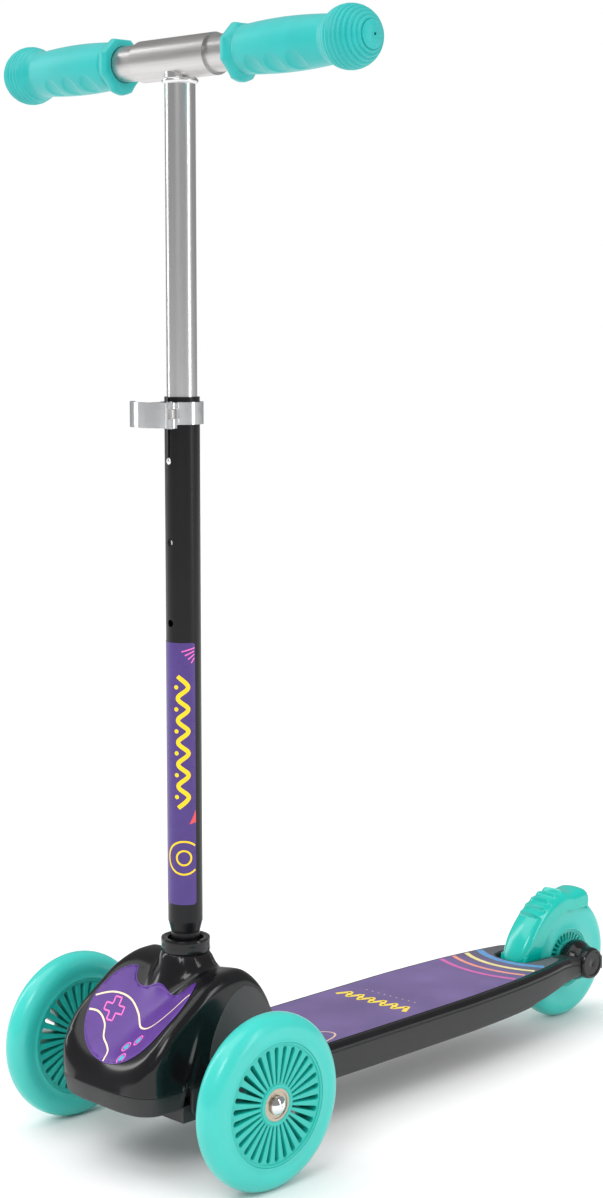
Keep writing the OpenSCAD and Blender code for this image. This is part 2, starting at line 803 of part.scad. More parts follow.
module weld_bead() {
    bead = 2;
    color([0.7, 0.7, 0.7]) placed() translate([0, stem_y, 0]) difference() {
        translate([0, 0, bar_height - tee_r - 1.2]) rotate_extrude()
            translate([upper_r, 0]) circle(r = bead, $fn = 24);
        translate([0, 0, bar_height - 60]) cylinder(r = upper_r, h = 60);
        translate([0, 0, bar_height]) x_rod(tee_r, -40, 40);
    }
}

module cross_bar() {
    color([0.75, 0.75, 0.77]) placed() translate([0, stem_y, bar_height]) difference() {
        x_rod(bar_r, -bar_half, bar_half);
        x_rod(bar_r - 1.5, -bar_half - cut, bar_half + cut);
    }
}

// Right-hand grip: flange, swelling body and ridged round end
module grip() {
    flange_r = bar_r + 4.3;
    body_r = bar_r + 2.4;
    ball_x = grip_end - ball_r;
    translate([0, 0, bar_height]) rotate([0, 90, 0]) difference() {
        union() {
            translate([0, 0, grip_start]) cylinder(r = flange_r, h = 6);
            rotate_extrude() polygon(concat([[0, grip_start + 1], [body_r, grip_start + 1]],
                [for (i = [0:16]) let (t = i / 16)
                    [body_r + 1.8 * sin(180 * t), grip_start + 6 + t * (ball_x - 14 - grip_start)]],
                [[0, ball_x]]));
            rotate_extrude() intersection() {
                translate([0, ball_x]) circle(r = ball_r);
                translate([0, ball_x - 10]) square([ball_r, 60]);
            }
            translate([0, 0, ball_x - 16]) cylinder(r1 = body_r, r2 = ball_r * 0.86, h = 6.01);
        }
        translate([0, 0, grip_start - cut]) cylinder(r = bar_r + 0.02, h = bar_half - grip_start + 2);
        // ridges on the round end and its centre hole
        for (r = [5:2.6:16]) translate([0, 0, ball_x + sqrt(ball_r * ball_r - r * r)])
            rotate_extrude() translate([r, 0]) circle(r = 0.55, $fn = 16);
        translate([0, 0, grip_end - 6]) cylinder(r = 2.2, h = 10);
    }
}

module grip_right() { color([0, 0.78, 0.76]) placed() translate([0, stem_y, 0]) grip(); }
module grip_left() {
    color([0, 0.78, 0.76]) placed() translate([0, stem_y, 0]) mirror([1, 0, 0]) grip();
}

module snap_button() {
    color("silver") placed() translate([0, stem_y, pin_high]) {
        y_rod(button_r, -button_reach + 1.2, -upper_bore_r + 1.5);
        translate([0, -button_reach + 2.4, 0]) intersection() {
            sphere(r = button_r);
            y_rod(button_r, -button_r, 0);
        }
        y_rod(button_r + 1.2, -upper_bore_r + 0.9, -upper_bore_r + 1.9);
    }
}

// Bent leaf that pushes the button outwards, inside the upper tube
module button_spring() {
    leaf = 0.7;
    front = -upper_bore_r + 1.9 + face_gap / 3;
    back = upper_bore_r - 1.6;
    low = -26;
    color("silver") placed() translate([-2.5, stem_y, pin_high]) rotate([90, 0, 90])
        linear_extrude(5) polygon([[front, 5], [front + leaf, 5], [front + leaf + 1.5, low + 5],
            [back - leaf - 1, low + 5], [back - leaf, 3], [back, 3], [back, low + 4],
            [back - 2, low], [front + 3, low], [front + 1, low + 4]]);
}

// ---------- deck ----------

// Half outline of the deck in plan, shrunk by inset, as points from the nose to the rear
function deck_side(inset) = [
    [deck_w / 2 - inset, deck_front + inset],
    [deck_w / 2 - inset, wheelbase - 180],
    [deck_w / 2 - 1.5 - inset, wheelbase - 130],
    [deck_w / 2 - 5 - inset, wheelbase - 85],
    [deck_w / 2 - 10 - inset, wheelbase - 48],
    [arm_out - 1 - inset, wheelbase - 24],
    [arm_out - 1 - inset, deck_rear - 10 - inset]];

function flipped(pts) = [for (i = [len(pts) - 1:-1:0]) [-pts[i][0], pts[i][1]]];

module deck_plan(inset) {
    polygon(concat(deck_side(inset), flipped(deck_side(inset))));
}

module deck_body() {
    top_t = 3.5;
    rib = 3;
    pocket_half = deck_w / 2 - deck_wall - 6;
    pocket_front = tongue_rear + 3;
    pocket_rear = slot_front - 10;
    bays = 3;
    bay = (pocket_rear - pocket_front) / bays;
    color([0.2, 0.2, 0.2]) placed() difference() {
        union() {
            translate([0, 0, deck_under]) linear_extrude(deck_h - film_t - 5) deck_plan(0);
            translate([0, 0, deck_skin - 5.01]) linear_extrude(2.6) deck_plan(0.9);
            translate([0, 0, deck_skin - 2.5]) linear_extrude(2.5) deck_plan(3);
            // round bosses of the rear axle
            for (s = [-1, 1]) scale([s, 1, 1]) translate([0, wheelbase, rear_r]) {
                x_rod(rear_boss_d / 2 - 2, core_w / 2 + 2, arm_out);
                x_rod(rear_boss_d / 2, core_w / 2 + 4, arm_out - 4);
            }
        }
        // opening for the wheel and the brake
        translate([-slot_half, slot_front, 0]) difference() {
            cube([2 * slot_half, 200, 200]);
            for (s = [0, 1]) translate([s * (2 * slot_half), wheelbase - slot_front, rear_r])
                x_rod(rear_boss_d / 2, -slot_half + core_w / 2 + 2, slot_half - core_w / 2 - 2);
        }
        // hollow underside between ribs
        for (i = [0:bays - 1])
            translate([-pocket_half, pocket_front + i * bay + rib / 2, deck_under - cut])
                cube([2 * pocket_half, bay - rib, deck_h - film_t - top_t + cut]);
        // seat of the steering base
        translate([-tongue_half - face_gap, deck_front - cut, deck_under - cut])
            cube([2 * (tongue_half + face_gap), tongue_rear - deck_front + cut + face_gap,
                tongue_top - deck_under + cut]);
        for (p = deck_screw_xy) translate([p[0], p[1], deck_under])
            cylinder(r = 2.02, h = tongue_top - deck_under + 5.4);
        // rear axle, brake pin and the cap recesses
        translate([0, wheelbase, rear_r]) x_rod(axle_r + 0.02, -80, 80);
        for (s = [-1, 1]) scale([s, 1, 1]) translate([0, wheelbase, rear_r])
            x_rod(9, arm_out - 6, arm_out + cut);
        translate([0, pivot_y, pivot_z]) x_rod(2.52, -28, 28);
        // the rear end rises to the axle
        translate([0, wheelbase - 110, deck_under]) rotate([5, 0, 0])
            translate([-100, 0, -30]) cube([200, 260, 30]);
    }
}

module deck_film() {
    color([0.46, 0.4, 0.62]) placed() translate([0, 0, deck_skin]) linear_extrude(film_t)
        difference() {
            deck_plan(film_border);
            translate([-slot_half - 2, slot_front - 2]) square([2 * slot_half + 4, 200]);
            translate([-100, 0]) square([200, dome_y + 38 + face_gap]);
            translate([-100, wheelbase - 34]) square([200, 80]);
        }
}

module rear_axle() {
    color("silver") at_rear() {
        x_rod(axle_r, -arm_out + 1, arm_out - 5.5);
        translate([arm_out - 6, 0, 0]) x_rod(6.5, 0, 3.5);
    }
}

module rear_axle_nut() {
    color("silver") at_rear() difference() {
        translate([-arm_out + 1.8, 0, 0]) rotate([0, 90, 0]) cylinder(r = 6.8, h = 4.2, $fn = 6);
        x_rod(axle_r + 0.02, -60, 60);
    }
}

// Round cap over the end of the rear axle, drawn for the right side
module axle_cap() {
    difference() {
        union() {
            x_rod(rear_boss_d / 2 - 3.5, arm_out, arm_out + 2.4);
            x_rod(rear_boss_d / 2 - 5, arm_out, arm_out + 3.2);
            x_rod(8.95, arm_out - 1.6, arm_out);
        }
        x_rod(7.4, arm_out - 2, arm_out - 0.2);
    }
}

module axle_cap_right() { color([0.08, 0.08, 0.08]) at_rear() axle_cap(); }
module axle_cap_left() { color([0.08, 0.08, 0.08]) at_rear() mirror([1, 0, 0]) axle_cap(); }

// ---------- brake ----------

// Side view of the fender, about the wheel's axis, with Y to the right and Z up
module fender_side() {
    skirt = 12;
    pivot = [pivot_y - wheelbase, pivot_z - rear_r];
    intersection() {
        difference() {
            circle(r = fender_out);
            circle(r = fender_in - skirt);
        }
        polygon(concat([[0, 0]], arc(0, 0, 2 * fender_out, fender_rear, fender_front, 24)));
    }
    rotate(fender_rear) translate([fender_in, 0]) square([fender_t + 3, 2.5]);
    translate(pivot) circle(r = 6);
    translate([pivot[0] - 6, pivot[1]]) square([10.5, deck_top + 8 - pivot_z]);
}

module brake_fender() {
    ridge_step = 8;
    color([0, 0.8, 0.72]) difference() {
        at_rear() rotate([90, 0, 90]) {
            translate([0, 0, -fender_half]) linear_extrude(2 * fender_half) fender_side();
            translate([0, 0, 2 - fender_half]) linear_extrude(2 * fender_half - 4)
                for (i = [0:4]) rotate(94 + i * ridge_step)
                    translate([fender_out - 1, -1.4]) square([2.4, 2.8]);
        }
        placed() translate([0, pivot_y, pivot_z]) x_rod(2.5 + run_gap, -40, 40);
        at_rear() x_rod(fender_in, -fender_half + 2, fender_half - 2);
        placed() translate([0, pivot_y, pivot_z]) x_rod(7.5, -4.2, 4.2);
    }
}

// Steel plate under the fender that rubs on the tread
module brake_pad() {
    color("gray") at_rear() rotate([0, 90, 0]) rotate([0, 0, 90 + 78])
        rotate_extrude(angle = 34) translate([fender_in - 1.2, -tyre_w / 2 + 2])
        square([1.2, tyre_w - 4]);
}

module brake_pin() {
    color("silver") placed() translate([0, pivot_y, pivot_z]) x_rod(2.5, -26, 26);
}

// Torsion spring round the middle of the pin
module brake_spring() {
    color("silver") placed() translate([-4, pivot_y, pivot_z]) rotate([0, 90, 0])
        coil(3.4, 0.5, 8, 5);
}

deck_body();
deck_film();
steering_base();
lower_shell();
upper_shell();
front_film();
socket_collar();
shell_screws();
deck_screws();
kingpins();
kingpin_nuts();
steering_tube();
tube_film();
stem_bolt();
clamp_collar();
clamp_bolt();
clamp_nut();
lever_pin();
clamp_lever();
upper_tube();
tee_sleeve();
weld_bead();
cross_bar();
grip_left();
grip_right();
snap_button();
button_spring();
knuckle_left();
knuckle_right();
tie_rod();
tie_pin_left();
tie_pin_right();
centring_spring_left();
centring_spring_right();
axle_bolt_left();
axle_bolt_right();
front_tyre_left();
front_core_left();
front_bearings_left();
front_spacer_left();
front_tyre_right();
front_core_right();
front_bearings_right();
front_spacer_right();
rear_tyre();
rear_core();
rear_bearings();
rear_spacer();
rear_axle();
rear_axle_nut();
axle_cap_left();
axle_cap_right();
brake_fender();
brake_pad();
brake_pin();
brake_spring();
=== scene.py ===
import json
import math
from contextlib import contextmanager
import bpy, bmesh
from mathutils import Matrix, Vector
from mathutils.geometry import delaunay_2d_cdt
from mathutils.bvhtree import BVHTree


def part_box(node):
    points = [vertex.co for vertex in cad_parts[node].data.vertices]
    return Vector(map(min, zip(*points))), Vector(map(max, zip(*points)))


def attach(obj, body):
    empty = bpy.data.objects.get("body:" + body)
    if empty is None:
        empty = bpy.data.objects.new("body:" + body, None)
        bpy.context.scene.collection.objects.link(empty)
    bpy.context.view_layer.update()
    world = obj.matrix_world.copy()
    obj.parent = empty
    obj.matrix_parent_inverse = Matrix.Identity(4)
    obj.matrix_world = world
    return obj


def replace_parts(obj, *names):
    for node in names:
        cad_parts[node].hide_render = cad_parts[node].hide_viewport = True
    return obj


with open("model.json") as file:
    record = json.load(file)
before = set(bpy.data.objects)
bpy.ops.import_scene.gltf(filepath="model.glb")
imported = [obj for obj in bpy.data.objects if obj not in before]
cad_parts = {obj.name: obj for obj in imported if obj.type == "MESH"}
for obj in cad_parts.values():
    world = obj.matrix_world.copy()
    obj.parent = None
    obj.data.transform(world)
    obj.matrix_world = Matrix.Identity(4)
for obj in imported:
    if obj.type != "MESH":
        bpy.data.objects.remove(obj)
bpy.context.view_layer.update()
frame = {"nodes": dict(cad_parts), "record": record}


NODES = frame["nodes"]


# Work is done in millimetres with the front axles at Y = 0; FRONT_Y puts it back in the row frame.
FRONT_Y = sum(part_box("front_core_left"), Vector()).y / 2


def span(node, axis):
    """Lowest and highest coordinate of a node along axis 0, 1 or 2, in millimetres from the front axles."""
    lo, hi = (c[axis] - (FRONT_Y if axis == 1 else 0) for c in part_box(node))
    return lo * 1000, hi * 1000


def half_span(node, axis):
    lo, hi = span(node, axis)
    return (hi - lo) / 2


def middle(node, axis):
    c = sum(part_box(node), Vector()) / 2
    return (c[axis] - (FRONT_Y if axis == 1 else 0)) * 1000


TRACK = middle("front_core_right", 0) - middle("front_core_left", 0)
WHEEL_Z = middle("front_core_left", 2)
REAR_Y = middle("rear_core", 1)
REAR_Z = middle("rear_core", 2)
STEM_Y = middle("steering_tube", 1)
BAR_Z = middle("cross_bar", 2)
BAR_R = half_span("cross_bar", 2)
GRIP_IN, GRIP_END = span("grip_right", 0)
DECK_TOP = span("deck_film", 2)[1]
DECK_IN, DECK_END = span("deck_body", 1)
DECK_HALF = span("deck_body", 0)[1]
TUBE_R = half_span("steering_tube", 0)
SIDES = (("left", -1), ("right", 1))
WALL = 2.4


# ---------------------------------------------------------------- materials

def nodes_of(name):
    m = bpy.data.materials.new(name)
    m.use_nodes = True
    t = m.node_tree
    return m, t, t.nodes["Principled BSDF"]


def add(t, kind, **values):
    n = t.nodes.new(kind)
    for k, v in values.items():
        if k in n.inputs:
            n.inputs[k].default_value = v
        else:
            setattr(n, k, v)
    return n


def clouded(t, fac, low, high, end):
    """Colour that drifts between two tones along a noise."""
    ramp = add(t, "ShaderNodeValToRGB")
    for stop, place, color in zip(ramp.color_ramp.elements, (0.3, end), (low, high)):
        stop.position = place
        stop.color = color
    t.links.new(fac, ramp.inputs["Fac"])
    return ramp.outputs["Color"]


def roughened(t, p, fac, low, high):
    spread = add(t, "ShaderNodeMapRange")
    spread.inputs["To Min"].default_value = low
    spread.inputs["To Max"].default_value = high
    t.links.new(fac, spread.inputs["Value"])
    t.links.new(spread.outputs["Result"], p.inputs["Roughness"])


def grained(t, p, height, strength, depth):
    bp = add(t, "ShaderNodeBump", Strength=strength, Distance=depth)
    t.links.new(height, bp.inputs["Height"])
    t.links.new(bp.outputs["Normal"], p.inputs["Normal"])


def tinted(color, gain, lift=0.0):
    return tuple(max(0.0, min(1.0, c * gain + lift)) for c in color[:3]) + (1.0,)


def material(name, color, rough=0.4, spread=0.05, metal=0.0, coat=0.0, grain=2400.0, bump=0.04, depth=0.0001,
             cloud=60.0, vary=0.06, stretch=(1, 1, 1), wear=0.0, ior=1.5, sheen=0.0):
    """Colour that drifts softly, roughness that varies, a fine grain in relief and paler worn edges."""
    m, t, p = nodes_of(name)
    link = t.links.new
    co = add(t, "ShaderNodeTexCoord")
    mp = add(t, "ShaderNodeMapping", Scale=stretch)
    link(co.outputs["Object"], mp.inputs["Vector"])
    big = add(t, "ShaderNodeTexNoise", Scale=cloud, Detail=4.0, Roughness=0.55)
    link(mp.outputs["Vector"], big.inputs["Vector"])
    base = clouded(t, big.outputs["Fac"], tinted(color, 1 - vary), tinted(color, 1 + vary), 0.7)
    if wear:
        geo = add(t, "ShaderNodeNewGeometry")
        edge = add(t, "ShaderNodeMapRange")
        edge.inputs["From Min"].default_value = 0.52
        edge.inputs["From Max"].default_value = 0.6
        link(geo.outputs["Pointiness"], edge.inputs["Value"])
        mix = add(t, "ShaderNodeMix", data_type="RGBA")
        amount = add(t, "ShaderNodeMath", operation="MULTIPLY")
        amount.inputs[1].default_value = wear
        link(edge.outputs["Result"], amount.inputs[0])
        link(amount.outputs[0], mix.inputs[0])
        link(base, mix.inputs[6])
        mix.inputs[7].default_value = tinted(color, 1.25, 0.05)
        base = mix.outputs[2]
    link(base, p.inputs["Base Color"])
    fine = add(t, "ShaderNodeTexNoise", Scale=grain, Detail=3.0, Roughness=0.6)
    link(mp.outputs["Vector"], fine.inputs["Vector"])
    roughened(t, p, big.outputs["Fac"], max(0.02, rough - spread), min(1.0, rough + spread))
    grained(t, p, fine.outputs["Fac"], bump, depth)
    p.inputs["Metallic"].default_value = metal
    p.inputs["Coat Weight"].default_value = coat
    p.inputs["Coat Roughness"].default_value = 0.12
    p.inputs["IOR"].default_value = ior
    p.inputs["Sheen Weight"].default_value = sheen
    return m


M = {
    "gloss": material("gloss_black_plastic", (0.006, 0.006, 0.007), 0.17, 0.04, grain=900, bump=0.06,
                      depth=0.0002, cloud=35, vary=0.2, coat=0.12, wear=0.2, ior=1.4),
    "matt": material("matt_black_plastic", (0.020, 0.020, 0.021), 0.48, 0.06, grain=5200, bump=0.35,
                     depth=0.00006, cloud=50, vary=0.12, wear=0.4),
    "grey": material("grey_side_plastic", (0.050, 0.050, 0.052), 0.5, 0.06, grain=5200, bump=0.35,
                     depth=0.00006, cloud=50, vary=0.1, wear=0.3),
    "nylon": material("base_nylon", (0.030, 0.030, 0.032), 0.55, 0.06, grain=3600, bump=0.3, cloud=60,
                      vary=0.15),
    "tube": material("black_powder_coat", (0.005, 0.005, 0.006), 0.30, 0.04, grain=3800, bump=0.18,
                     depth=0.00008, cloud=40, vary=0.15, coat=0.05, ior=1.35),
    "steel": material("brushed_steel", (0.74, 0.735, 0.74), 0.26, 0.04, metal=1.0, grain=2600, bump=0.05,
                      depth=0.00002, cloud=300, vary=0.03, stretch=(1, 1, 0.01)),
    "steel_x": material("brushed_steel_bar", (0.56, 0.545, 0.54), 0.33, 0.06, metal=1.0, grain=2600,
                        bump=0.16, depth=0.00005, cloud=500, vary=0.07, stretch=(0.03, 1, 1)),
    "alloy": material("polished_alloy", (0.83, 0.84, 0.86), 0.20, 0.05, metal=1.0, grain=2200, bump=0.06,
                      depth=0.00005, cloud=260, vary=0.04, stretch=(1, 1, 6), wear=0.2),
    "zinc": material("zinc_plate", (0.60, 0.59, 0.57), 0.32, 0.08, metal=1.0, grain=3000, bump=0.08,
                     cloud=300, vary=0.08),
    "shield": material("bearing_shield", (0.52, 0.45, 0.36), 0.35, 0.06, metal=1.0, grain=3000, bump=0.08,
                       cloud=300, vary=0.06),
    "chrome": material("chrome", (0.80, 0.80, 0.81), 0.09, 0.03, metal=1.0, grain=1500, bump=0.03, cloud=200,
                       vary=0.03),
    "grip": material("grip_rubber", (0.0, 0.40, 0.385), 0.42, 0.05, grain=4200, bump=0.16, depth=0.00008,
                     cloud=45, vary=0.05, sheen=0.15),
    "tyre": material("wheel_polyurethane", (0.035, 0.52, 0.46), 0.30, 0.05, grain=3000, bump=0.06, cloud=30,
                     vary=0.04, coat=0.25),
    "core": material("wheel_core_plastic", (0.012, 0.45, 0.385), 0.34, 0.05, grain=3600, bump=0.08, cloud=40,
                     vary=0.04, coat=0.15),
    "brake": material("brake_plastic", (0.0, 0.46, 0.385), 0.22, 0.05, grain=2600, bump=0.05, cloud=40,
                      vary=0.04, coat=0.4),
    "violet": material("nose_print", (0.085, 0.022, 0.235), 0.34, 0.04, grain=6000, bump=0.06, cloud=110,
                       vary=0.1),
    "tube_print": material("tube_print", (0.062, 0.028, 0.19), 0.28, 0.03, grain=6000, bump=0.04, cloud=90,
                           vary=0.1),
}

# inks of the smooth stickers and of the gritty deck print
INKS = {"yellow": ((0.95, 0.62, 0.0), 0.34, 0.05), "cream": ((0.93, 0.72, 0.48), 0.36, 0.05),
        "pink": ((0.86, 0.14, 0.52), 0.36, 0.06), "cyan": ((0.05, 0.42, 0.60), 0.36, 0.06),
        "red": ((0.75, 0.07, 0.09), 0.36, 0.06)}
DECK_INKS = {"deck_yellow": (0.78, 0.58, 0.07), "deck_cream": (0.62, 0.44, 0.38),
             "deck_pale": (0.72, 0.62, 0.26), "deck_pink": (0.52, 0.11, 0.34),
             "deck_orange": (0.70, 0.27, 0.20), "deck_blue": (0.10, 0.26, 0.52)}
for key, (color, rough, vary) in INKS.items():
    M[key] = material(f"print_{key}", color, rough, 0.03, grain=6000, bump=0.05, cloud=150, vary=vary)
for key, color in DECK_INKS.items():
    label = "deck_pale_yellow" if key == "deck_pale" else key
    M[key] = material(label, color, 0.5, 0.05, grain=3200, bump=0.4, cloud=150, vary=0.1)


def deck_print():
    """Muted purple print that darkens to grey round the wheel slot, under a fine anti-slip grain."""
    m, t, p = nodes_of("deck_print")
    link = t.links.new
    co = add(t, "ShaderNodeTexCoord")
    sep = add(t, "ShaderNodeSeparateXYZ")
    link(co.outputs["Object"], sep.inputs[0])
    far = add(t, "ShaderNodeMapRange")
    far.inputs["From Min"].default_value = (REAR_Y - 96) / 1000 + FRONT_Y
    far.inputs["From Max"].default_value = (REAR_Y - 58) / 1000 + FRONT_Y
    link(sep.outputs["Y"], far.inputs["Value"])
    cloud = add(t, "ShaderNodeTexNoise", Scale=22.0, Detail=5.0)
    link(co.outputs["Object"], cloud.inputs["Vector"])
    tone = clouded(t, cloud.outputs["Fac"], (0.118, 0.082, 0.215, 1), (0.165, 0.112, 0.290, 1), 0.75)
    mix = add(t, "ShaderNodeMix", data_type="RGBA")
    link(far.outputs["Result"], mix.inputs[0])
    link(tone, mix.inputs[6])
    mix.inputs[7].default_value = (0.10, 0.10, 0.115, 1)
    link(mix.outputs[2], p.inputs["Base Color"])
    grit = add(t, "ShaderNodeTexVoronoi", Scale=900.0)
    link(co.outputs["Object"], grit.inputs["Vector"])
    grained(t, p, grit.outputs["Distance"], 0.35, 0.0001)
    roughened(t, p, cloud.outputs["Fac"], 0.42, 0.58)
    return m


M["deck"] = deck_print()

BY_SLOT = {"gloss_black": "gloss", "matt_black": "matt", "grip_teal": "grip", "tyre_teal": "tyre",
           "core_teal": "core", "brake_teal": "brake", "film_purple": "tube_print", "deck_print": "deck",
           "tube_black": "tube", "bare_steel": "steel", "bright_alloy": "alloy", "zinc_steel": "zinc",
           "chrome": "chrome", "base_nylon": "nylon"}
SLOT_OF = {s["node"]: s["material_slot"] for s in frame["record"]["subparts"]}
CUSTOM = {"tee_sleeve": "steel_x", "cross_bar": "steel_x", "front_bearings_left": "shield",
          "front_bearings_right": "shield", "rear_bearings": "shield"}
for node, ob in NODES.items():
    ob.data.materials.clear()
    ob.data.materials.append(M[CUSTOM.get(node) or BY_SLOT[SLOT_OF[node]]])


# ---------------------------------------------------------------- mesh helpers

def row(v):
    return (v[0] / 1000, v[1] / 1000 + FRONT_Y, v[2] / 1000)


@contextmanager
def editing(me):
    bm = bmesh.new()
    bm.from_mesh(me)
    yield bm
    bm.to_mesh(me)
    bm.free()


def mesh_object(name, verts, faces, outward=False):
    """Welded mesh object from points in millimetres, its faces turned the same way."""
    me = bpy.data.meshes.new(name)
    me.from_pydata([row(v) for v in verts], [], faces)
    with editing(me) as bm:
        bmesh.ops.remove_doubles(bm, verts=bm.verts, dist=1e-6)
        bmesh.ops.recalc_face_normals(bm, faces=bm.faces)
        if outward and not any(e.is_boundary for e in bm.edges) and bm.calc_volume(signed=True) < 0:
            bmesh.ops.reverse_faces(bm, faces=bm.faces)
    ob = bpy.data.objects.new(name, me)
    bpy.context.scene.collection.objects.link(ob)
    return ob


def make(name, verts, faces, mat, body, slot=None, angle=38.0):
    """Visible piece from points in millimetres, smooth with sharp edges kept."""
    ob = mesh_object(name, verts, faces, outward=True)
    ob.data.materials.append(M[mat])
    shade(ob, angle)
    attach(ob, body)
    return ob


def shade(ob, angle=38.0):
    me = ob.data
    me.polygons.foreach_set("use_smooth", [True] * len(me.polygons))
    me.set_sharp_from_angle(angle=math.radians(angle))
    me.update()


def apply(ob):
    """Replaces the object's mesh with the result of its modifiers."""
    bpy.context.view_layer.update()
    dg = bpy.context.evaluated_depsgraph_get()
    new = bpy.data.meshes.new_from_object(ob.evaluated_get(dg))
    old = ob.data
    ob.modifiers.clear()
    ob.data = new
    bpy.data.meshes.remove(old)


def cut(ob, cutters, solver="EXACT"):
    for c in cutters:
        md = ob.modifiers.new("cut", "BOOLEAN")
        md.operation = "DIFFERENCE"
        md.solver = solver
        md.object = c
    apply(ob)
    assert len(ob.data.polygons) > 6, f"{ob.name} was cut away"
    for c in cutters:
        bpy.data.objects.remove(c)


def bevelled(ob, width):
    md = ob.modifiers.new("edge", "BEVEL")
    md.width = width / 1000
    md.segments = 2
    md.limit_method = "ANGLE"
    md.angle_limit = math.radians(40)


def walled(ob, thickness, name="wall"):
    """Gives a surface a thickness in millimetres, on its inner side."""
    md = ob.modifiers.new(name, "SOLIDIFY")
    md.thickness = thickness / 1000
    md.offset = -1


def prism(name, loop, axis, a0, a1):
    """Cutter: a closed outline pushed along X ('x': outline is Y, Z) or Z ('z': outline is X, Y)."""
    n = len(loop)
    put = (lambda p, a: (a, p[0], p[1])) if axis == "x" else (lambda p, a: (p[0], p[1], a))
    verts = [put(p, a0) for p in loop] + [put(p, a1) for p in loop]
    faces = [(i, (i + 1) % n, n + (i + 1) % n, n + i) for i in range(n)]
    faces += [tuple(range(n))[::-1], tuple(range(n, 2 * n))]
    return mesh_object(name, verts, faces)


def lathe(profile, centre, axis, seg=96):
    """Ring of revolution: profile points are (along the axis, radius)."""
    verts, faces = [], []
    n = len(profile)
    for k in range(seg):
        a = 2 * math.pi * k / seg
        c, s = math.cos(a), math.sin(a)
        for x, r in profile:
            verts.append((centre[0] + x, centre[1] + r * c, centre[2] + r * s) if axis == "x"
                         else (centre[0] + r * c, centre[1] + r * s, centre[2] + x))
    for k in range(seg):
        k2 = (k + 1) % seg
        for i in range(n):
            j = (i + 1) % n
            faces.append((k * n + i, k * n + j, k2 * n + j, k2 * n + i))
    return verts, faces


def ring_arc(cx, cy, r, a0, a1, n):
    return [(cx + r * math.cos(math.radians(a0 + (a1 - a0) * i / n)),
             cy + r * math.sin(math.radians(a0 + (a1 - a0) * i / n))) for i in range(n + 1)]


def spaced(points, step, closed=False):
    """Points at an even step along a polyline."""
    pts = list(points) + ([points[0]] if closed else [])
    out, left = [pts[0]], step
    for a, b in zip(pts, pts[1:]):
        d = math.dist(a, b)
        at = left
        while at < d:
            out.append(tuple(p + (q - p) * at / d for p, q in zip(a, b)))
            at += step
        left = at - d
    if not closed:
        out.append(pts[-1])
    return out


def smooth_line(points, closed=False, per=8):
    """Catmull-Rom curve through points."""
    n = len(points)
    out = []
    last = n if closed else n - 1
    for i in range(last):
        p0 = points[(i - 1) % n] if closed or i > 0 else points[0]
        p1, p2 = points[i], points[(i + 1) % n]
        p3 = points[(i + 2) % n] if closed or i + 2 < n else points[-1]
        for k in range(per):
            t = k / per
            out.append(tuple(0.5 * (2 * b + (c - a) * t + (2 * a - 5 * b + 4 * c - d) * t * t
                                    + (3 * b - a - 3 * c + d) * t ** 3)
                             for a, b, c, d in zip(p0, p1, p2, p3)))
    if not closed:
        out.append(points[-1])
    return out


def plate(name, loops, w0, w1, put, mat, body, bevel):
    """Flat plate with holes and rounded edges; put maps (u, v, w) in millimetres to a point."""
    cu = bpy.data.curves.new(name + "_c", "CURVE")
    cu.dimensions = "2D"
    cu.fill_mode = "BOTH"
    cu.extrude = (w1 - w0) / 2 - bevel
    cu.bevel_depth = bevel
    cu.bevel_resolution = 2
    cu.offset = -bevel
    for i, loop in enumerate(loops):
        area = sum(a[0] * b[1] - b[0] * a[1] for a, b in zip(loop, loop[1:] + loop[:1]))
        if (area > 0) != (i == 0):
            loop = loop[::-1]
        sp = cu.splines.new("POLY")
        sp.points.add(len(loop) - 1)
        for q, p in zip(sp.points, loop):
            q.co = (p[0], p[1], 0, 1)
        sp.use_cyclic_u = True
    tmp = bpy.data.objects.new(name + "_c", cu)
    bpy.context.scene.collection.objects.link(tmp)
    bpy.context.view_layer.update()
    me = bpy.data.meshes.new_from_object(tmp.evaluated_get(bpy.context.evaluated_depsgraph_get()))
    verts = [put(v.co.x, v.co.y, v.co.z + (w0 + w1) / 2) for v in me.vertices]
    faces = [tuple(p.vertices) for p in me.polygons]
    bpy.data.objects.remove(tmp)
    bpy.data.curves.remove(cu)
    bpy.data.meshes.remove(me)
    return make(name, verts, faces, mat, body)


def patch(name, outline, place, mat, step):
    """Thin printed patch: outline in (u, v), filled with small faces that place() lays on a surface."""
    n = len(outline)
    us = [p[0] for p in outline]
    vs = [p[1] for p in outline]
    inner = []
    u = min(us) + step / 2
    while u < max(us):
        v = min(vs) + step / 2
        while v < max(vs):
            if inside((u, v), outline) and min(math.dist((u, v), p) for p in outline) > step * 0.45:
                inner.append((u, v))
            v += step
        u += step
    pts = [Vector(p) for p in list(outline) + inner]
    v2, _, f2, _, _, _ = delaunay_2d_cdt(pts, [(i, (i + 1) % n) for i in range(n)], [], 1, 1e-5)
    verts = [place(p.x, p.y) for p in v2]
    faces = [tuple(f) for f in f2]
    return make(name, verts, faces, mat, "chassis")


def inside(p, loop):
    x, y = p
    hit = False
    for (x1, y1), (x2, y2) in zip(loop, loop[1:] + loop[:1]):
        if (y1 > y) != (y2 > y) and x < (x2 - x1) * (y - y1) / (y2 - y1) + x1:
            hit = not hit
    return hit


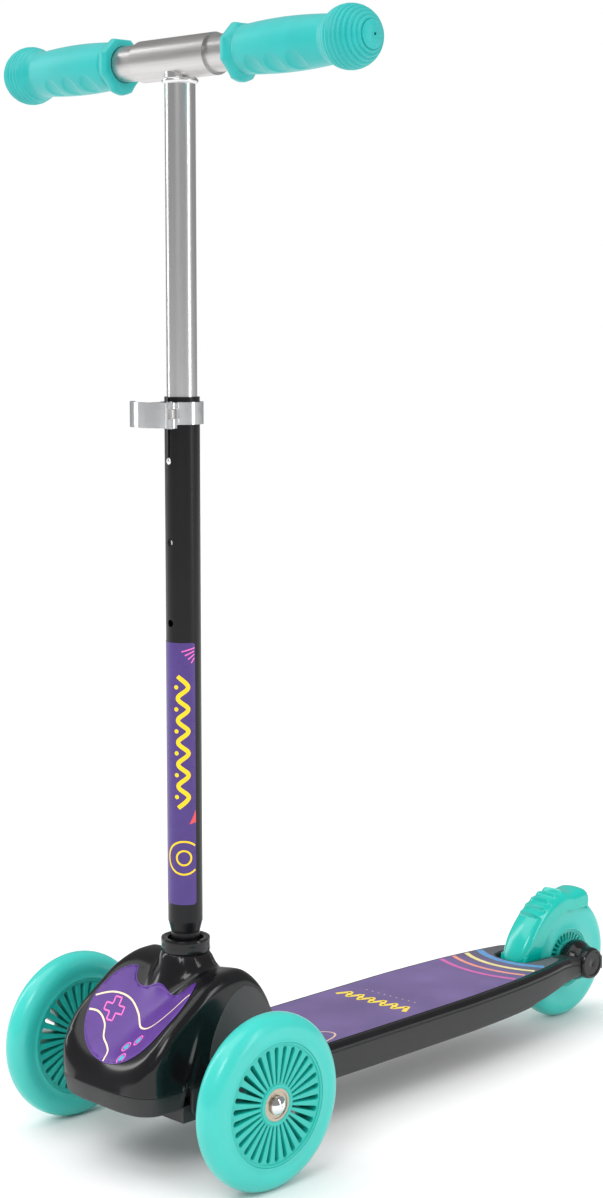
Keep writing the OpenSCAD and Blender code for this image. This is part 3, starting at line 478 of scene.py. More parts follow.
def ribbon(name, line, width, place, mat, closed=False, step=1.2, clip=None):
    """Printed line of even width along a path in (u, v), laid on a surface by place()."""
    pts = spaced(line, step, closed)
    n = len(pts)
    verts, faces, keep = [], [], []
    for i, p in enumerate(pts):
        a = pts[i - 1] if i or closed else pts[0]
        b = pts[(i + 1) % n] if i + 1 < n or closed else pts[-1]
        dx, dy = b[0] - a[0], b[1] - a[1]
        length = math.hypot(dx, dy) or 1.0
        nx, ny = -dy / length * width / 2, dx / length * width / 2
        one, other = (p[0] + nx, p[1] + ny), (p[0] - nx, p[1] - ny)
        keep.append(clip is None or (inside(one, clip) and inside(other, clip)))
        verts += [place(*q) for q in (one, p, other)]
    for i in range(n if closed else n - 1):
        j = (i + 1) % n
        if keep[i] and keep[j]:
            for k in (0, 1):
                faces.append((3 * i + k, 3 * i + k + 1, 3 * j + k + 1, 3 * j + k))
    used = sorted({v for f in faces for v in f})
    at = {v: i for i, v in enumerate(used)}
    return make(name, [verts[v] for v in used], [tuple(at[v] for v in f) for f in faces], mat, "chassis")


# ---------------------------------------------------------------- wheels

def at_wheel(cx, cy, cz):
    return lambda u, v, w: (cx + w, cy + u, cz + v)


def wheel_tyre(name, centre, r, core_r, half, core_half, body, node):
    """Moulded tyre: crowned tread, soft shoulders and a fine step where it meets the core."""
    prof = [(core_half, core_r), (core_half + 0.25, core_r + 0.3), (core_half + 0.25, core_r + 1.1),
            (core_half - 0.05, core_r + 1.5)]
    for i in range(25):
        a = math.radians(-8 + 98 * i / 24)
        across, up = (math.cos(a) ** 0.86, math.sin(a)) if a >= 0 else (math.cos(a), 1.6 * math.sin(a))
        prof.append((half * across, r - half + half * up))
    prof = [p for p in prof if p[0] >= 0.22]
    # moulding line round the middle of the tread
    prof += [(0.22, r - 0.02), (0.0, r)]
    full = prof + [(-x, rr) for x, rr in prof[-2::-1]]
    verts, faces = lathe(full, centre, "x", 144)
    ob = make(name, verts, faces, "tyre", body, angle=50)
    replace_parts(ob, node)


def slotted_core(name, centre, core_r, slot_in, slot_out, w_in, w_out, count, body, node, half, dish):
    """Slotted disc with rounded ribs, a raised rim and a raised hub ring."""
    hub = 11.02
    loops = [ring_arc(0, 0, core_r, 0, 360, 144)[:-1], ring_arc(0, 0, hub, 0, 360, 72)[:-1]]
    for i in range(count):
        a = 360 * i / count + 360 / count / 2
        ca, sa = math.cos(math.radians(a)), math.sin(math.radians(a))
        ri, ro = slot_in + w_in / 2, slot_out - w_out / 2
        outline = [(ri, w_in / 2)] + ring_arc(ri, 0, w_in / 2, 110, 250, 4) + [(ri, -w_in / 2)]
        outline += [(ro, -w_out / 2)] + ring_arc(ro, 0, w_out / 2, -70, 70, 6) + [(ro, w_out / 2)]
        loops.append([(x * ca - y * sa, x * sa + y * ca) for x, y in outline])
    w = half - dish
    ob = plate(name, loops, -w, w, at_wheel(*centre), "core", body, 0.45)
    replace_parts(ob, node)
    for tag, r0, r1 in (("rim", slot_out + 0.9, core_r + 0.02), ("hub", hub + 0.02, slot_in - 0.5)):
        for side, s in (("a", 1), ("b", -1)):
            e = 0.35
            prof = [(s * (w - 1), r0), (s * (half - e - 0.15), r0), (s * (half - 0.15), r0 + e),
                    (s * (half - 0.15), r1 - e), (s * (half - e - 0.15), r1), (s * (w - 1), r1)]
            verts, faces = lathe(prof, centre, "x", 96)
            make(f"{name}_{tag}_{side}", verts, faces, "core", body)


TYRE_HALF = half_span("front_tyre_left", 0)
CORE_HALF = half_span("front_core_left", 0)
CORE_R = half_span("front_core_left", 2) + 0.02
REAR_CORE_R = half_span("rear_core", 2) + 0.02
for tag, sx in SIDES:
    c = (sx * TRACK / 2, 0, WHEEL_Z)
    wheel_tyre(f"front_tyre_{tag}_skin", c, WHEEL_Z, CORE_R, TYRE_HALF, CORE_HALF, f"front_wheel_{tag}",
               f"front_tyre_{tag}")
    slotted_core(f"front_core_{tag}_skin", c, CORE_R, 14.6, CORE_R - 2.9, 1.2, 3.5, 30, f"front_wheel_{tag}",
                 f"front_core_{tag}", CORE_HALF, 0.9)
c = (0, REAR_Y, REAR_Z)
wheel_tyre("rear_tyre_skin", c, REAR_Z, REAR_CORE_R, TYRE_HALF, CORE_HALF, "rear_wheel", "rear_tyre")
slotted_core("rear_core_skin", c, REAR_CORE_R, 14.2, REAR_CORE_R - 2.6, 1.7, 2.3, 30, "rear_wheel",
             "rear_core", CORE_HALF, 0.9)


# ---------------------------------------------------------------- front housing

NOSE = 65.0
BACK = 65.0
SKIRT_TOP = 61.0


def interp(table, x):
    """Straight-line reading of a table of (x, value)."""
    if x <= table[0][0]:
        return table[0][1]
    for (x0, v0), (x1, v1) in zip(table, table[1:]):
        if x <= x1:
            t = (x - x0) / (x1 - x0)
            return v0 + (v1 - v0) * t
    return table[-1][1]


def fitted(points, per=10):
    return smooth_line(points, False, per)


SHOULDER = fitted([(-64, 66), (-61, 76), (-56, 84), (-48, 94), (-37, 105), (-27, 112.5), (-19, 118),
                   (-7, 126), (8, 131.5), (20, 133), (30, 132), (40, 125), (48, 115), (54, 102), (59, 86),
                   (63, 70), (65, 62)])
CENTRE = fitted([(-64, 66), (-60, 72), (-54, 78), (-45, 84), (-31, 94), (-18, 104), (-5, 113), (5, 119),
                 (18, 124), (30, 127), (40, 122), (48, 112), (54, 99), (59, 84), (63, 69), (65, 62)])
NECK = fitted([(0, 140), (17, 140), (18.2, 135), (20, 129), (23, 121.5), (27, 115), (33, 107), (44, 90),
               (60, 60), (90, 0)])


def smooth_max(a, b, k):
    h = max(k - abs(a - b), 0) / k
    return max(a, b) + h * h * k / 4


def top_z(x, y):
    s, c0 = interp(SHOULDER, y), interp(CENTRE, y)
    t = min(abs(x) / 45.0, 1.0)
    front = min(max((-y + 5) / 50.0, 0), 1)
    g = (t * t * (3 - 2 * t)) * (1 - 0.45 * front) + 0.45 * front * t * t
    z = c0 + (s - c0) * g
    rho = math.hypot(x, y - STEM_Y)
    return smooth_max(z, interp(NECK, rho), 7.0)


def shell_outline():
    """Plan of the housing, from the middle of the nose round to the middle of the back: right half."""
    pts = [(0, -NOSE), (16, -NOSE + 0.2), (30, -62.9), (39.5, -59.8), (46.2, -53.6), (49.3, -45.5), (50, -36),
           (50, -27.0), (50, -21.0), (50, -14), (50, 0), (50, 14), (50, 28), (50, 42), (50, 52), (49.2, 58.5),
           (45, 63.6), (38, BACK), (24, BACK), (0, BACK)]
    return spaced(smooth_line(pts, False, 12), 1.25)


HALF = shell_outline()
LOOP = HALF + [(-x, y) for x, y in HALF[-2:0:-1]]


def side_shift(x, y, z):
    """Crease between the nose and the side wall, slanting back as it rises."""
    yc = -25 + (z - 61) * 0.34
    fade = min(max((104 - z) / 22.0, 0), 1)
    return 2.3 * math.exp(-((y - yc) / 3.0) ** 2) * fade if abs(x) > 40 else 0.0


def shell_point(x, y, z):
    d = side_shift(x, y, z)
    return (x - math.copysign(d, x), y, z)


ROUND = 9.0


def corner(y):
    """Radius of the rounding between wall and top, tighter at the nose and the back."""
    return ROUND if abs(y) < 55 else 7.0


def build_shell():
    n = len(LOOP)
    rim = [0.25, 0.7, 1.3, 2.0, 2.9, 4.0, 5.2, 6.5, 8.0]
    steps = [(d, 1.0) for d in rim] + [(rim[-1], 1 - k / 18) for k in range(1, 19)]
    verts, faces, rings = [], [], []
    walls = 12
    for k in range(walls + 1):
        ring = []
        for x, y in LOOP:
            ztop = top_z(x, y) - corner(y)
            z = SKIRT_TOP + 0.25 + (ztop - SKIRT_TOP - 0.25) * k / walls
            z = max(z, SKIRT_TOP + 0.25 + 0.01 * k)
            ring.append(len(verts))
            verts.append(shell_point(x, y, z))
        rings.append(ring)
    for d, inward in steps:
        ring = []
        for x, y in LOOP:
            cy = min(max(y, -24), 26)
            dist = math.hypot(x, y - cy)
            f = (1 - d / dist) * inward
            px, py = x * f, cy + (y - cy) * f
            r = corner(y)
            drop = r - math.sqrt(max(r * r - (r - min(d, r)) ** 2, 0))
            z = top_z(px, py) - drop
            z = max(z, SKIRT_TOP + 0.4 + d * 0.02)
            ring.append(len(verts))
            verts.append(shell_point(px, py, z))
        rings.append(ring)
    for a, b in zip(rings, rings[1:]):
        for i in range(n):
            j = (i + 1) % n
            faces.append((a[i], a[j], b[j], b[i]))
    return verts, faces


def house():
    """Glossy upper shell; returns its outer face, to lay the film on."""
    ob = make("upper_shell_skin", *build_shell(), "gloss", "chassis")
    with editing(ob.data) as bm:
        bmesh.ops.remove_doubles(bm, verts=bm.verts, dist=0.0005)
        bmesh.ops.dissolve_degenerate(bm, edges=bm.edges, dist=0.0001)
        bmesh.ops.recalc_face_normals(bm, faces=bm.faces)
        if sum(f.normal.z * f.calc_area() for f in bm.faces) < 0:
            bmesh.ops.reverse_faces(bm, faces=bm.faces)
        for _ in range(3):
            inner = [v for v in bm.verts if not v.is_boundary]
            bmesh.ops.smooth_vert(bm, verts=inner, factor=0.5, use_axis_x=True, use_axis_y=True,
                                  use_axis_z=True)
    outer = BVHTree.FromObject(ob, bpy.context.evaluated_depsgraph_get())
    axis = STEM_Y / 1000 + FRONT_Y
    with editing(ob.data) as bm:
        hidden = []
        for f in bm.faces:
            c = f.calc_center_median()
            in_bore = c.z > 0.118 and math.hypot(c.x, c.y - axis) < 0.0145
            in_window = abs(c.x) > 0.045 and math.hypot(c.y - FRONT_Y, c.z - WHEEL_Z / 1000) < 0.0128
            if in_bore or in_window:
                hidden.append(f)
        bmesh.ops.delete(bm, geom=hidden, context="FACES")
    walled(ob, WALL)
    apply(ob)
    ob.data.materials.clear()
    ob.data.materials.append(M["gloss"])
    shade(ob, 42)
    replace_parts(ob, "upper_shell")
    return outer


def side_block(name, s, loop, w0, w1, mat, bevel):
    """Flat block on one side of the housing, with a round window for the knuckle's stub."""
    ob = plate(name, [loop], w0, w1, lambda u, v, w: (s * w, u, v), mat, "chassis", bevel)
    cut(ob, [prism("window", ring_arc(0, WHEEL_Z, 12, 0, 360, 48)[:-1], "x", s * 42, s * 56)])
    shade(ob)


# outline of the matt side panel in Y, Z
ARCH = smooth_line([(-6.5, 60.2), (-6.2, 72), (-4.5, 84), (-1.0, 95), (5.5, 106.5), (12.5, 115),
                    (19.5, 120), (27, 121.8), (34.5, 120), (41.5, 114.5), (47.5, 106.5), (52, 97.5),
                    (55.5, 86), (57.5, 73), (58, 60.2)], False, 6)
SKIRT_SIDE = [(-20.5, 44.2), (-19, 42.4), (-16, 42), (42, 42), (45.4, 43), (45.4, 60.9), (-19.5, 60.9),
              (-20.6, 59)]
OUTER = house()
for tag, s in SIDES:
    side_block(f"side_panel_{tag}", s, ARCH, 47.0, 50.45, "grey", 0.5)


def skirt():
    """Matt band under the nose, closed round its back corners."""
    front = [p for p in HALF if p[1] < -30.0]
    tail = smooth_line([(49.8, -29.5), (48.6, -25.4), (45.2, -23.0), (40, -22.4)], False, 6)
    half = front + tail[1:]
    loop = half + [(-x, y) for x, y in half[::-1] if x > 0.01]
    prof = [(47.0, 6.4), (47.0, 5.4), (47.2, 4.3), (48.0, 3.3), (49.4, 2.8), (52, 2.1), (56, 1.1),
            (59.8, 0.45), (60.7, 0.6), (61.0, 1.1), (61.0, 3.2)]
    n = len(loop)
    verts, faces = [], []
    cy = -30
    for z, d in prof:
        for x, y in loop:
            r = math.hypot(x, y - cy)
            verts.append((x - x / r * d, y - (y - cy) / r * d, z))
    for k in range(len(prof) - 1):
        for i in range(n):
            j = (i + 1) % n
            faces.append((k * n + i, k * n + j, (k + 1) * n + j, (k + 1) * n + i))
    faces.append(tuple(range(n)))
    faces.append(tuple(range((len(prof) - 1) * n, len(prof) * n))[::-1])
    ob = make("lower_shell_skin", verts, faces, "matt", "chassis")
    with editing(ob.data) as bm:
        bmesh.ops.triangulate(bm, faces=[f for f in bm.faces if len(f.verts) > 6])
    shade(ob)
    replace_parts(ob, "lower_shell")
    for tag, s in SIDES:
        side_block(f"lower_shell_side_{tag}", s, SKIRT_SIDE, 46.4, 49.4, "matt", 0.7)


skirt()


def on_shell(x, y, lift):
    hit, nrm, _, _ = OUTER.ray_cast(Vector(row((x, y, 200))), Vector((0, 0, -1)))
    if hit is None:
        hit, nrm, _, _ = OUTER.find_nearest(Vector(row((x, y, 100))))
    if nrm.z < 0:
        nrm = -nrm
    p = hit + nrm * lift / 1000
    return (p.x * 1000, (p.y - FRONT_Y) * 1000, p.z * 1000)


FILM_HALF = smooth_line([(0, -56.2), (10, -55.6), (19, -53.8), (27, -50.4), (33.5, -45.2), (38, -38),
                         (40.4, -30), (40.6, -22), (39, -14), (35.6, -6.5), (32.2, -1.6), (29.6, -0.4),
                         (27.4, -2.4), (24.4, -6.4), (19.0, -8.4), (12, -7.4), (5, -6.2), (0, -6.0)], False,
                        5)
FILM = FILM_HALF[:-1] + [(-x, y) for x, y in FILM_HALF[:0:-1]]
film = patch("front_film_print", FILM, lambda u, v: on_shell(u, v, 0.32), "violet", 1.6)
walled(film, 0.28, "thick")
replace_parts(film, "front_film")
ribbon("front_film_edge", FILM, 0.7, lambda u, v: on_shell(u, v, 0.34), "violet", closed=True)


def nose_line(name, line, width, mat, closed=False):
    ribbon(name, line, width, lambda u, v: on_shell(u, v, 0.42), mat, closed, clip=FILM)


def plus(cx, cy, arm, w, turn):
    ca, sa = math.cos(math.radians(turn)), math.sin(math.radians(turn))
    pts = [(w, arm), (-w, arm), (-w, w), (-arm, w), (-arm, -w), (-w, -w), (-w, -arm), (w, -arm), (w, -w),
           (arm, -w), (arm, w), (w, w)]
    return [(cx + x * ca - y * sa, cy + x * sa + y * ca) for x, y in pts]


nose_line("nose_line_wave", smooth_line([(-42, -33), (-30, -22), (-17, -18), (-4, -22), (8, -30), (20, -31),
                                         (30, -24), (36, -14), (40, -10)], False, 8), 1.1, "cream")
nose_line("nose_line_low", smooth_line([(-40, -40), (-30, -36), (-21, -38), (-15, -44), (-8, -47), (-3, -51),
                                        (-1, -60)], False, 8), 1.1, "cream")
nose_line("nose_plus", plus(-22, -28.5, 7.0, 2.3, 20), 1.0, "pink", True)
for i, (x, y) in enumerate([(9, -44), (17, -40), (13, -52)]):
    nose_line(f"nose_ring_{i}", ring_arc(x, y, 3.0, 0, 360, 28)[:-1], 0.9, "pink", True)
    patch(f"nose_dot_{i}", ring_arc(x, y, 2.0, 0, 360, 20)[:-1], lambda u, v: on_shell(u, v, 0.42), "cyan",
          1.0)

# collar round the tube
v, f = lathe([(140.0, 14.4), (140.0, 17.1), (140.6, 17.3), (143, 17.0), (145.5, 17.0), (148.0, 17.2),
              (148.8, 16.8), (149.0, 16.1), (149.0, 13.6), (148.2, 12.45), (141, 12.45)], (0, STEM_Y, 0),
             "z", 96)
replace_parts(make("socket_collar_skin", v, f, "gloss", "chassis"), "socket_collar")


# ---------------------------------------------------------------- column

def on_tube(z0, lift):
    """u runs round the tube in millimetres from its front, v up."""
    r = TUBE_R + lift
    return lambda u, v: (r * math.sin(u / TUBE_R), STEM_Y - r * math.cos(u / TUBE_R), z0 + v)


FILM_LO, FILM_HI = span("tube_film", 2)
FILM_H = FILM_HI - FILM_LO
TW = math.pi * TUBE_R / 2 - 0.6
band = [(-TW, 0.8), (-TW + 0.8, 0), (TW - 0.8, 0), (TW, 0.8), (TW, FILM_H - 0.8), (TW - 0.8, FILM_H),
        (-TW + 0.8, FILM_H), (-TW, FILM_H - 0.8)]
tf = patch("tube_film_print", spaced(band, 2.5, True), on_tube(FILM_LO, 0.22), "tube_print", 2.4)
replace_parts(tf, "tube_film")


def tube_line(name, line, width, mat, closed=False):
    ribbon(name, line, width, on_tube(FILM_LO, 0.30), mat, closed, step=0.8,
                  clip=band)


U0 = 9.4
zig = [(U0 + (3.6 if i % 2 else -3.6), 68 + i * 7.6) for i in range(13)]
tube_line("tube_wave", smooth_line(zig, False, 8), 3.0, "yellow")
for i in range(6):
    z = 75.6 + i * 15.2
    patch(f"tube_dot_{i}", ring_arc(U0 - 4.6, z, 1.5, 0, 360, 20)[:-1], on_tube(FILM_LO, 0.30), "yellow", 0.8)
tube_line("tube_ring", ring_arc(U0, 33, 11.5, 35, 325, 60), 1.3, "yellow")
tube_line("tube_ring_in", ring_arc(U0, 33, 5.0, 0, 360, 40), 1.3, "yellow")
patch("tube_triangle", [(13.2, 56.5), (18.2, 57.5), (18.0, 66.5)], on_tube(FILM_LO, 0.30), "red", 1.0)
for i in range(4):
    tube_line(f"tube_stripe_{i}", [(8.6 + i * 2.2, 176 - i * 2.6), (18.2, 178.6 - i * 2.0)], 0.9, "pink")

# small rounded edges on the CAD pieces that stay, in millimetres
EDGES = {0.55: "clamp_lever",
         0.45: "clamp_collar",
         0.5: "tee_sleeve knuckle_left knuckle_right",
         0.4: "clamp_nut",
         0.2: "clamp_bolt cross_bar upper_tube front_bearings_left front_bearings_right rear_bearings "
              "brake_pad",
         0.3: "lever_pin tie_rod kingpins deck_screws shell_screws",
         0.25: "axle_bolt_left axle_bolt_right",
         0.12: "steering_tube",
         0.6: "steering_base"}
for width, names in EDGES.items():
    for node in names.split():
        bevelled(NODES[node], width)
for ob in NODES.values():
    shade(ob, 32)


# ---------------------------------------------------------------- grips

BALL_R = half_span("grip_right", 2)
BALL_X = GRIP_END - BALL_R


def grip_radius(x, a):
    """Radius of the grip at distance x from the middle, at angle a (0 = up, 90 = front)."""
    body = BAR_R + 2.6
    t = (x - GRIP_IN) / (BALL_X - 14 - GRIP_IN)
    r = body + 2.6 * math.sin(math.pi * min(max(t * 0.92 + 0.02, 0), 1)) ** 0.9
    # finger hollows low at the front
    for i in range(3):
        d = (x - GRIP_IN - 26 - 19 * i) / 6.8
        e = (a - 142) / 30
        if d * d + e * e < 1:
            r -= 1.3 * math.sqrt(1 - d * d - e * e)
    return r


def grip(tag, s):
    verts, faces = [], []
    na = 128
    turn = [360 * i / na for i in range(na)]
    rings = []
    flange = [(0.0, BAR_R + 0.3), (0.0, BAR_R + 2.6), (0.5, BAR_R + 4.6), (1.6, BAR_R + 5.4),
              (4.6, BAR_R + 5.7), (6.8, BAR_R + 5.2), (8.0, BAR_R + 4.0), (9.4, BAR_R + 3.0)]

    def eight(a, r, k):
        """Pulls a circle towards an octagon with a tab at its foot."""
        seg = 45.0
        b = ((a + seg / 2) % seg) - seg / 2
        octo = r * math.cos(math.radians(seg / 2)) / math.cos(math.radians(b)) * 1.045
        rr = r + (octo - r) * k
        down = math.exp(-((a - 180) / 24.0) ** 2)
        return rr + 3.2 * down * k

    for x, r in flange:
        k = min(max((r - BAR_R - 2.4) / 3.0, 0), 1)
        rings.append([(x + GRIP_IN, eight(a, r, k), a) for a in turn])
    x = GRIP_IN + 10.6
    join = BALL_X - math.sqrt(BALL_R ** 2 - (BAR_R + 5.0) ** 2)
    while x < join - 2.4:
        rings.append([(x, grip_radius(x, a), a) for a in turn])
        x += 1.1
    x_end = x - 1.1
    r_end = grip_radius(x_end, 0)
    # the ball, with concentric ridges that fade towards the body
    start = math.degrees(math.acos((join - BALL_X) / BALL_R))
    steps = 190
    for k in range(steps + 1):
        t = k / steps
        ang = start * (1 - t) + 2.0 * t
        rr = BALL_R - 0.35
        depth = 1.0 * min(max((125 - ang) / 30.0, 0), 1)
        if ang > 27:
            wave = 0.5 - 0.5 * math.cos(2 * math.pi * (ang - 27) / 9.6)
            rr -= depth * (1 - wave ** 0.6)
        else:
            rr += 0.05
        px = BALL_X + rr * math.cos(math.radians(ang))
        pr = rr * math.sin(math.radians(ang))
        if k < 8:
            q = k / 8
            pr = max(pr, r_end * (1 - q) + pr * q)
        rings.append([(px, pr, a) for a in turn])
    hole = [(GRIP_END - 0.45, 1.9), (GRIP_END - 0.9, 1.5), (GRIP_END - 5.0, 1.35), (GRIP_END - 5.2, 0.02)]
    rings[-1] = [(GRIP_END - 0.32, 2.3, a) for a in turn]
    for px, pr in hole:
        rings.append([(px, pr, a) for a in turn])
    for ring in rings:
        for px, r, a in ring:
            ra = math.radians(a)
            verts.append((s * px, STEM_Y - r * math.sin(ra), BAR_Z + r * math.cos(ra)))
    for k in range(len(rings) - 1):
        for i in range(na):
            j = (i + 1) % na
            faces.append((k * na + i, k * na + j, (k + 1) * na + j, (k + 1) * na + i))
    ob = make(f"grip_{tag}_skin", verts, faces, "grip", "handlebar", angle=60)
    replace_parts(ob, f"grip_{tag}")


grip("right", 1)
grip("left", -1)


# ---------------------------------------------------------------- deck

SLOT_HALF = 18.0
SLOT_Y = REAR_Y - REAR_Z - 15
ARM = 33.4
EDGE_R = 4.6
TOP_Z = 59.4


def half_width(y):
    return interp(WIDTH, y)


WIDTH = fitted([(DECK_IN, DECK_HALF), (REAR_Y - 190, DECK_HALF), (REAR_Y - 140, DECK_HALF - 1.2),
                (REAR_Y - 100, DECK_HALF - 3.8), (REAR_Y - 70, DECK_HALF - 7.3),
                (REAR_Y - 48, DECK_HALF - 11), (REAR_Y - 30, ARM + 1.2), (REAR_Y - 14, ARM),
                (REAR_Y + 12, ARM - 0.5)], 6)
UNDER = fitted([(DECK_IN, 33), (REAR_Y - 120, 33), (REAR_Y - 80, 35.0), (REAR_Y - 40, 38.6), (REAR_Y, 42.4),
                (REAR_Y + 12, 43.4)], 6)
TOPS = fitted([(DECK_IN, TOP_Z), (REAR_Y - 70, TOP_Z), (REAR_Y - 36, 59.0), (REAR_Y - 18, 57.5),
               (REAR_Y, 54.5), (REAR_Y + 12, 52)], 6)


def deck_section(hw, lo, hi):
    """Right half of the outer section, from the middle of the top to the middle of the underside."""
    r = EDGE_R
    pts = [(0, hi), (hw * 0.5, hi), (hw - r - 2, hi), (hw - r, hi - 0.02)]
    pts += [(hw - r + (r - 0.25) * math.sin(math.radians(a)), hi - r + r * math.cos(math.radians(a)))
            for a in (12, 24, 36, 48, 60, 72, 84)]
    pts += [(hw - 0.15, hi - r - 0.5), (hw - 0.55, hi - r - 1.0), (hw - 0.1, hi - r - 1.6),
            (hw, hi - r - 2.2)]
    m = (hi - r - 2.2 + lo + 3) / 2
    pts += [(hw, m), (hw - 0.15, lo + 4.5), (hw - 0.5, lo + 2.2), (hw - 1.4, lo + 0.7), (hw - 2.6, lo),
            (hw - 6, lo), (hw * 0.5, lo), (0, lo)]
    return pts


def deck():
    ys = []
    y = DECK_IN
    while y < DECK_END - 0.1:
        ys.append(y)
        y += 6.0
    ys.append(DECK_END)
    verts, faces = [], []
    for y in ys:
        hw, lo, hi = half_width(y), interp(UNDER, y), interp(TOPS, y)
        if y > REAR_Y - 2:
            e = (y - REAR_Y + 2) / (DECK_END - REAR_Y + 2)
            lo += 6 * e * e
            hi -= 3 * e * e
        right = deck_section(hw, lo, hi)
        ring = right + [(-x, z) for x, z in right[-2:0:-1]]
        verts += [(x, y, z) for x, z in ring]
    n = len(ring)
    for k in range(len(ys) - 1):
        for i in range(n):
            j = (i + 1) % n
            faces.append((k * n + i, k * n + j, (k + 1) * n + j, (k + 1) * n + i))
    faces.append(tuple(range(n))[::-1])
    faces.append(tuple(range((len(ys) - 1) * n, len(ys) * n)))
    ob = make("deck_body_skin", verts, faces, "matt", "chassis")
    cutters = []
    slot_loop = smooth_line([(-SLOT_HALF, SLOT_Y + 12), (-SLOT_HALF + 1.5, SLOT_Y + 4),
                             (-SLOT_HALF + 7, SLOT_Y), (0, SLOT_Y - 1), (SLOT_HALF - 7, SLOT_Y),
                             (SLOT_HALF - 1.5, SLOT_Y + 4), (SLOT_HALF, SLOT_Y + 12)], False, 6)
    slot_loop += [(SLOT_HALF, REAR_Y + 60), (-SLOT_HALF, REAR_Y + 60)]
    cutters.append(prism("slot", slot_loop, "z", 0, 90))
    # hollow underside with ribs
    y0, y1, bays = 92.0, SLOT_Y - 8, 6
    step = (y1 - y0) / bays
    for i in range(bays):
        a, b = y0 + i * step + 1.2, y0 + (i + 1) * step - 1.2
        for s in (-1, 1):
            x1 = min(half_width(a), half_width(b)) - 4.0
            cutters.append(prism("bay", [(s * 1.3, a), (s * x1, a), (s * x1, b), (s * 1.3, b)], "z", 10,
                                 55.5))
    sx = span("steering_base", 0)[1] - 9.0
    cutters.append(prism("seat", [(-sx, DECK_IN - 1), (sx, DECK_IN - 1), (sx, 89.5), (-sx, 89.5)], "z", 10,
                         52.9))
    cut(ob, cutters, "MANIFOLD")
    shade(ob, 40)
    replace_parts(ob, "deck_body")
    deck_edge(ys)


def deck_edge(ys):
    """Glossy rounded edge over the matt walls."""
    verts, faces = [], []
    for s in (1, -1):
        base = len(verts)
        rows = []
        for y in ys:
            if y > REAR_Y - 22:
                break
            hw, hi = half_width(y), interp(TOPS, y)
            r = EDGE_R
            sec = [(hw - r - 1.2, hi + 0.05)]
            for a in (0, 12, 24, 36, 48, 60, 72, 84, 90):
                ra = math.radians(a)
                sec.append((hw - r + (r - 0.2) * math.sin(ra) + 0.06, hi - r + r * math.cos(ra) + 0.06))
            sec.append((hw - 0.35, hi - r - 0.8))
            rows.append([(s * x, y, z) for x, z in sec])
        m = len(rows[0])
        for rw in rows:
            verts += rw
        for k in range(len(rows) - 1):
            for i in range(m - 1):
                a = base + k * m + i
                faces.append((a, a + 1, a + m + 1, a + m))
    make("deck_edge", verts, faces, "gloss", "chassis", "matt_black")


deck()

FILM_IN, FILM_OUT = span("deck_film", 1)


def on_deck(lift):
    def place(u, v):
        drop = 0.0
        if v > REAR_Y - 70:
            drop = TOP_Z - interp(TOPS, v)
        return (u, v, DECK_TOP - 0.25 + lift - drop)
    return place


def film_edge():
    steps = int((FILM_OUT - FILM_IN) / 8)
    right = [(half_width(y) - 5.6, y) for y in [FILM_IN + 1 + i * 8.0 for i in range(steps)]]
    end = [(half_width(FILM_OUT) - 5.8, FILM_OUT - 3), (half_width(FILM_OUT) - 8, FILM_OUT)]
    slot_side = [(SLOT_HALF + 2.2, FILM_OUT), (SLOT_HALF + 2, SLOT_Y + 12), (SLOT_HALF, SLOT_Y + 3),
                 (SLOT_HALF - 6.5, SLOT_Y - 2.2), (0, SLOT_Y - 3.2)]
    half = [(0, FILM_IN + 0.6), (20, FILM_IN + 0.6),
            (right[0][0] - 1, FILM_IN + 0.6)] + right + end + slot_side
    return half + [(-x, y) for x, y in half[-2:0:-1]]


DECK_FILM = film_edge()
df = patch("deck_film_print", DECK_FILM, on_deck(0.0), "deck", 5.0)
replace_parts(df, "deck_film")


def deck_line(name, line, width, mat, closed=False):
    ribbon(name, line, width, on_deck(0.07), mat, closed, step=1.5, clip=DECK_FILM)


def deck_spot(name, x, y, r, mat):
    patch(name, ring_arc(x, y, r, 0, 360, 24)[:-1], on_deck(0.07), mat, 1.6)


# generic outlines near the housing
deck_line("deck_loop", smooth_line([(-30, 72), (-33, 90), (-31, 106), (-22, 116), (-10, 112), (-3, 102),
                                    (8, 102), (16, 112), (24, 130), (34, 132), (40, 118), (40, 96),
                                    (36, 72)], False, 8), 1.5, "deck_cream")
deck_line("deck_plus", plus(22, 106, 10, 3.4, 12), 1.3, "deck_pink", True)
for i, (x, y) in enumerate([(-19, 92), (-12, 80), (-24, 80)]):
    deck_line(f"deck_ring_{i}", ring_arc(x, y, 4.4, 0, 360, 28)[:-1], 1.2, "deck_pink", True)
    deck_spot(f"deck_dot_{i}", x, y, 3.2, "deck_blue")
# yellow zigzag across the middle in place of lettering
zig = [(-34 + i * 5.6, 208 + (5.5 if i % 2 else -5.5) + i * 0.3) for i in range(13)]
deck_line("deck_zigzag", zig, 4.0, "deck_yellow")
for i in range(9):
    deck_spot(f"deck_bead_{i}", -24 + i * 6, 226 + i * 0.3, 0.7, "deck_cream")
# arcs that ring the wheel
ARCS = (("blue", 58, 6.0, "deck_blue", 196, 344), ("yellow", 71, 4.0, "deck_pale", 190, 350),
        ("orange", 84, 3.6, "deck_orange", 232, 350), ("pink", 97, 4.0, "deck_pink", 205, 332))
for tag, r, width, mat, a0, a1 in ARCS:
    deck_line(f"deck_arc_{tag}", ring_arc(0, REAR_Y - 14, r, a0, a1, 90), width, mat)


# ---------------------------------------------------------------- rear bosses

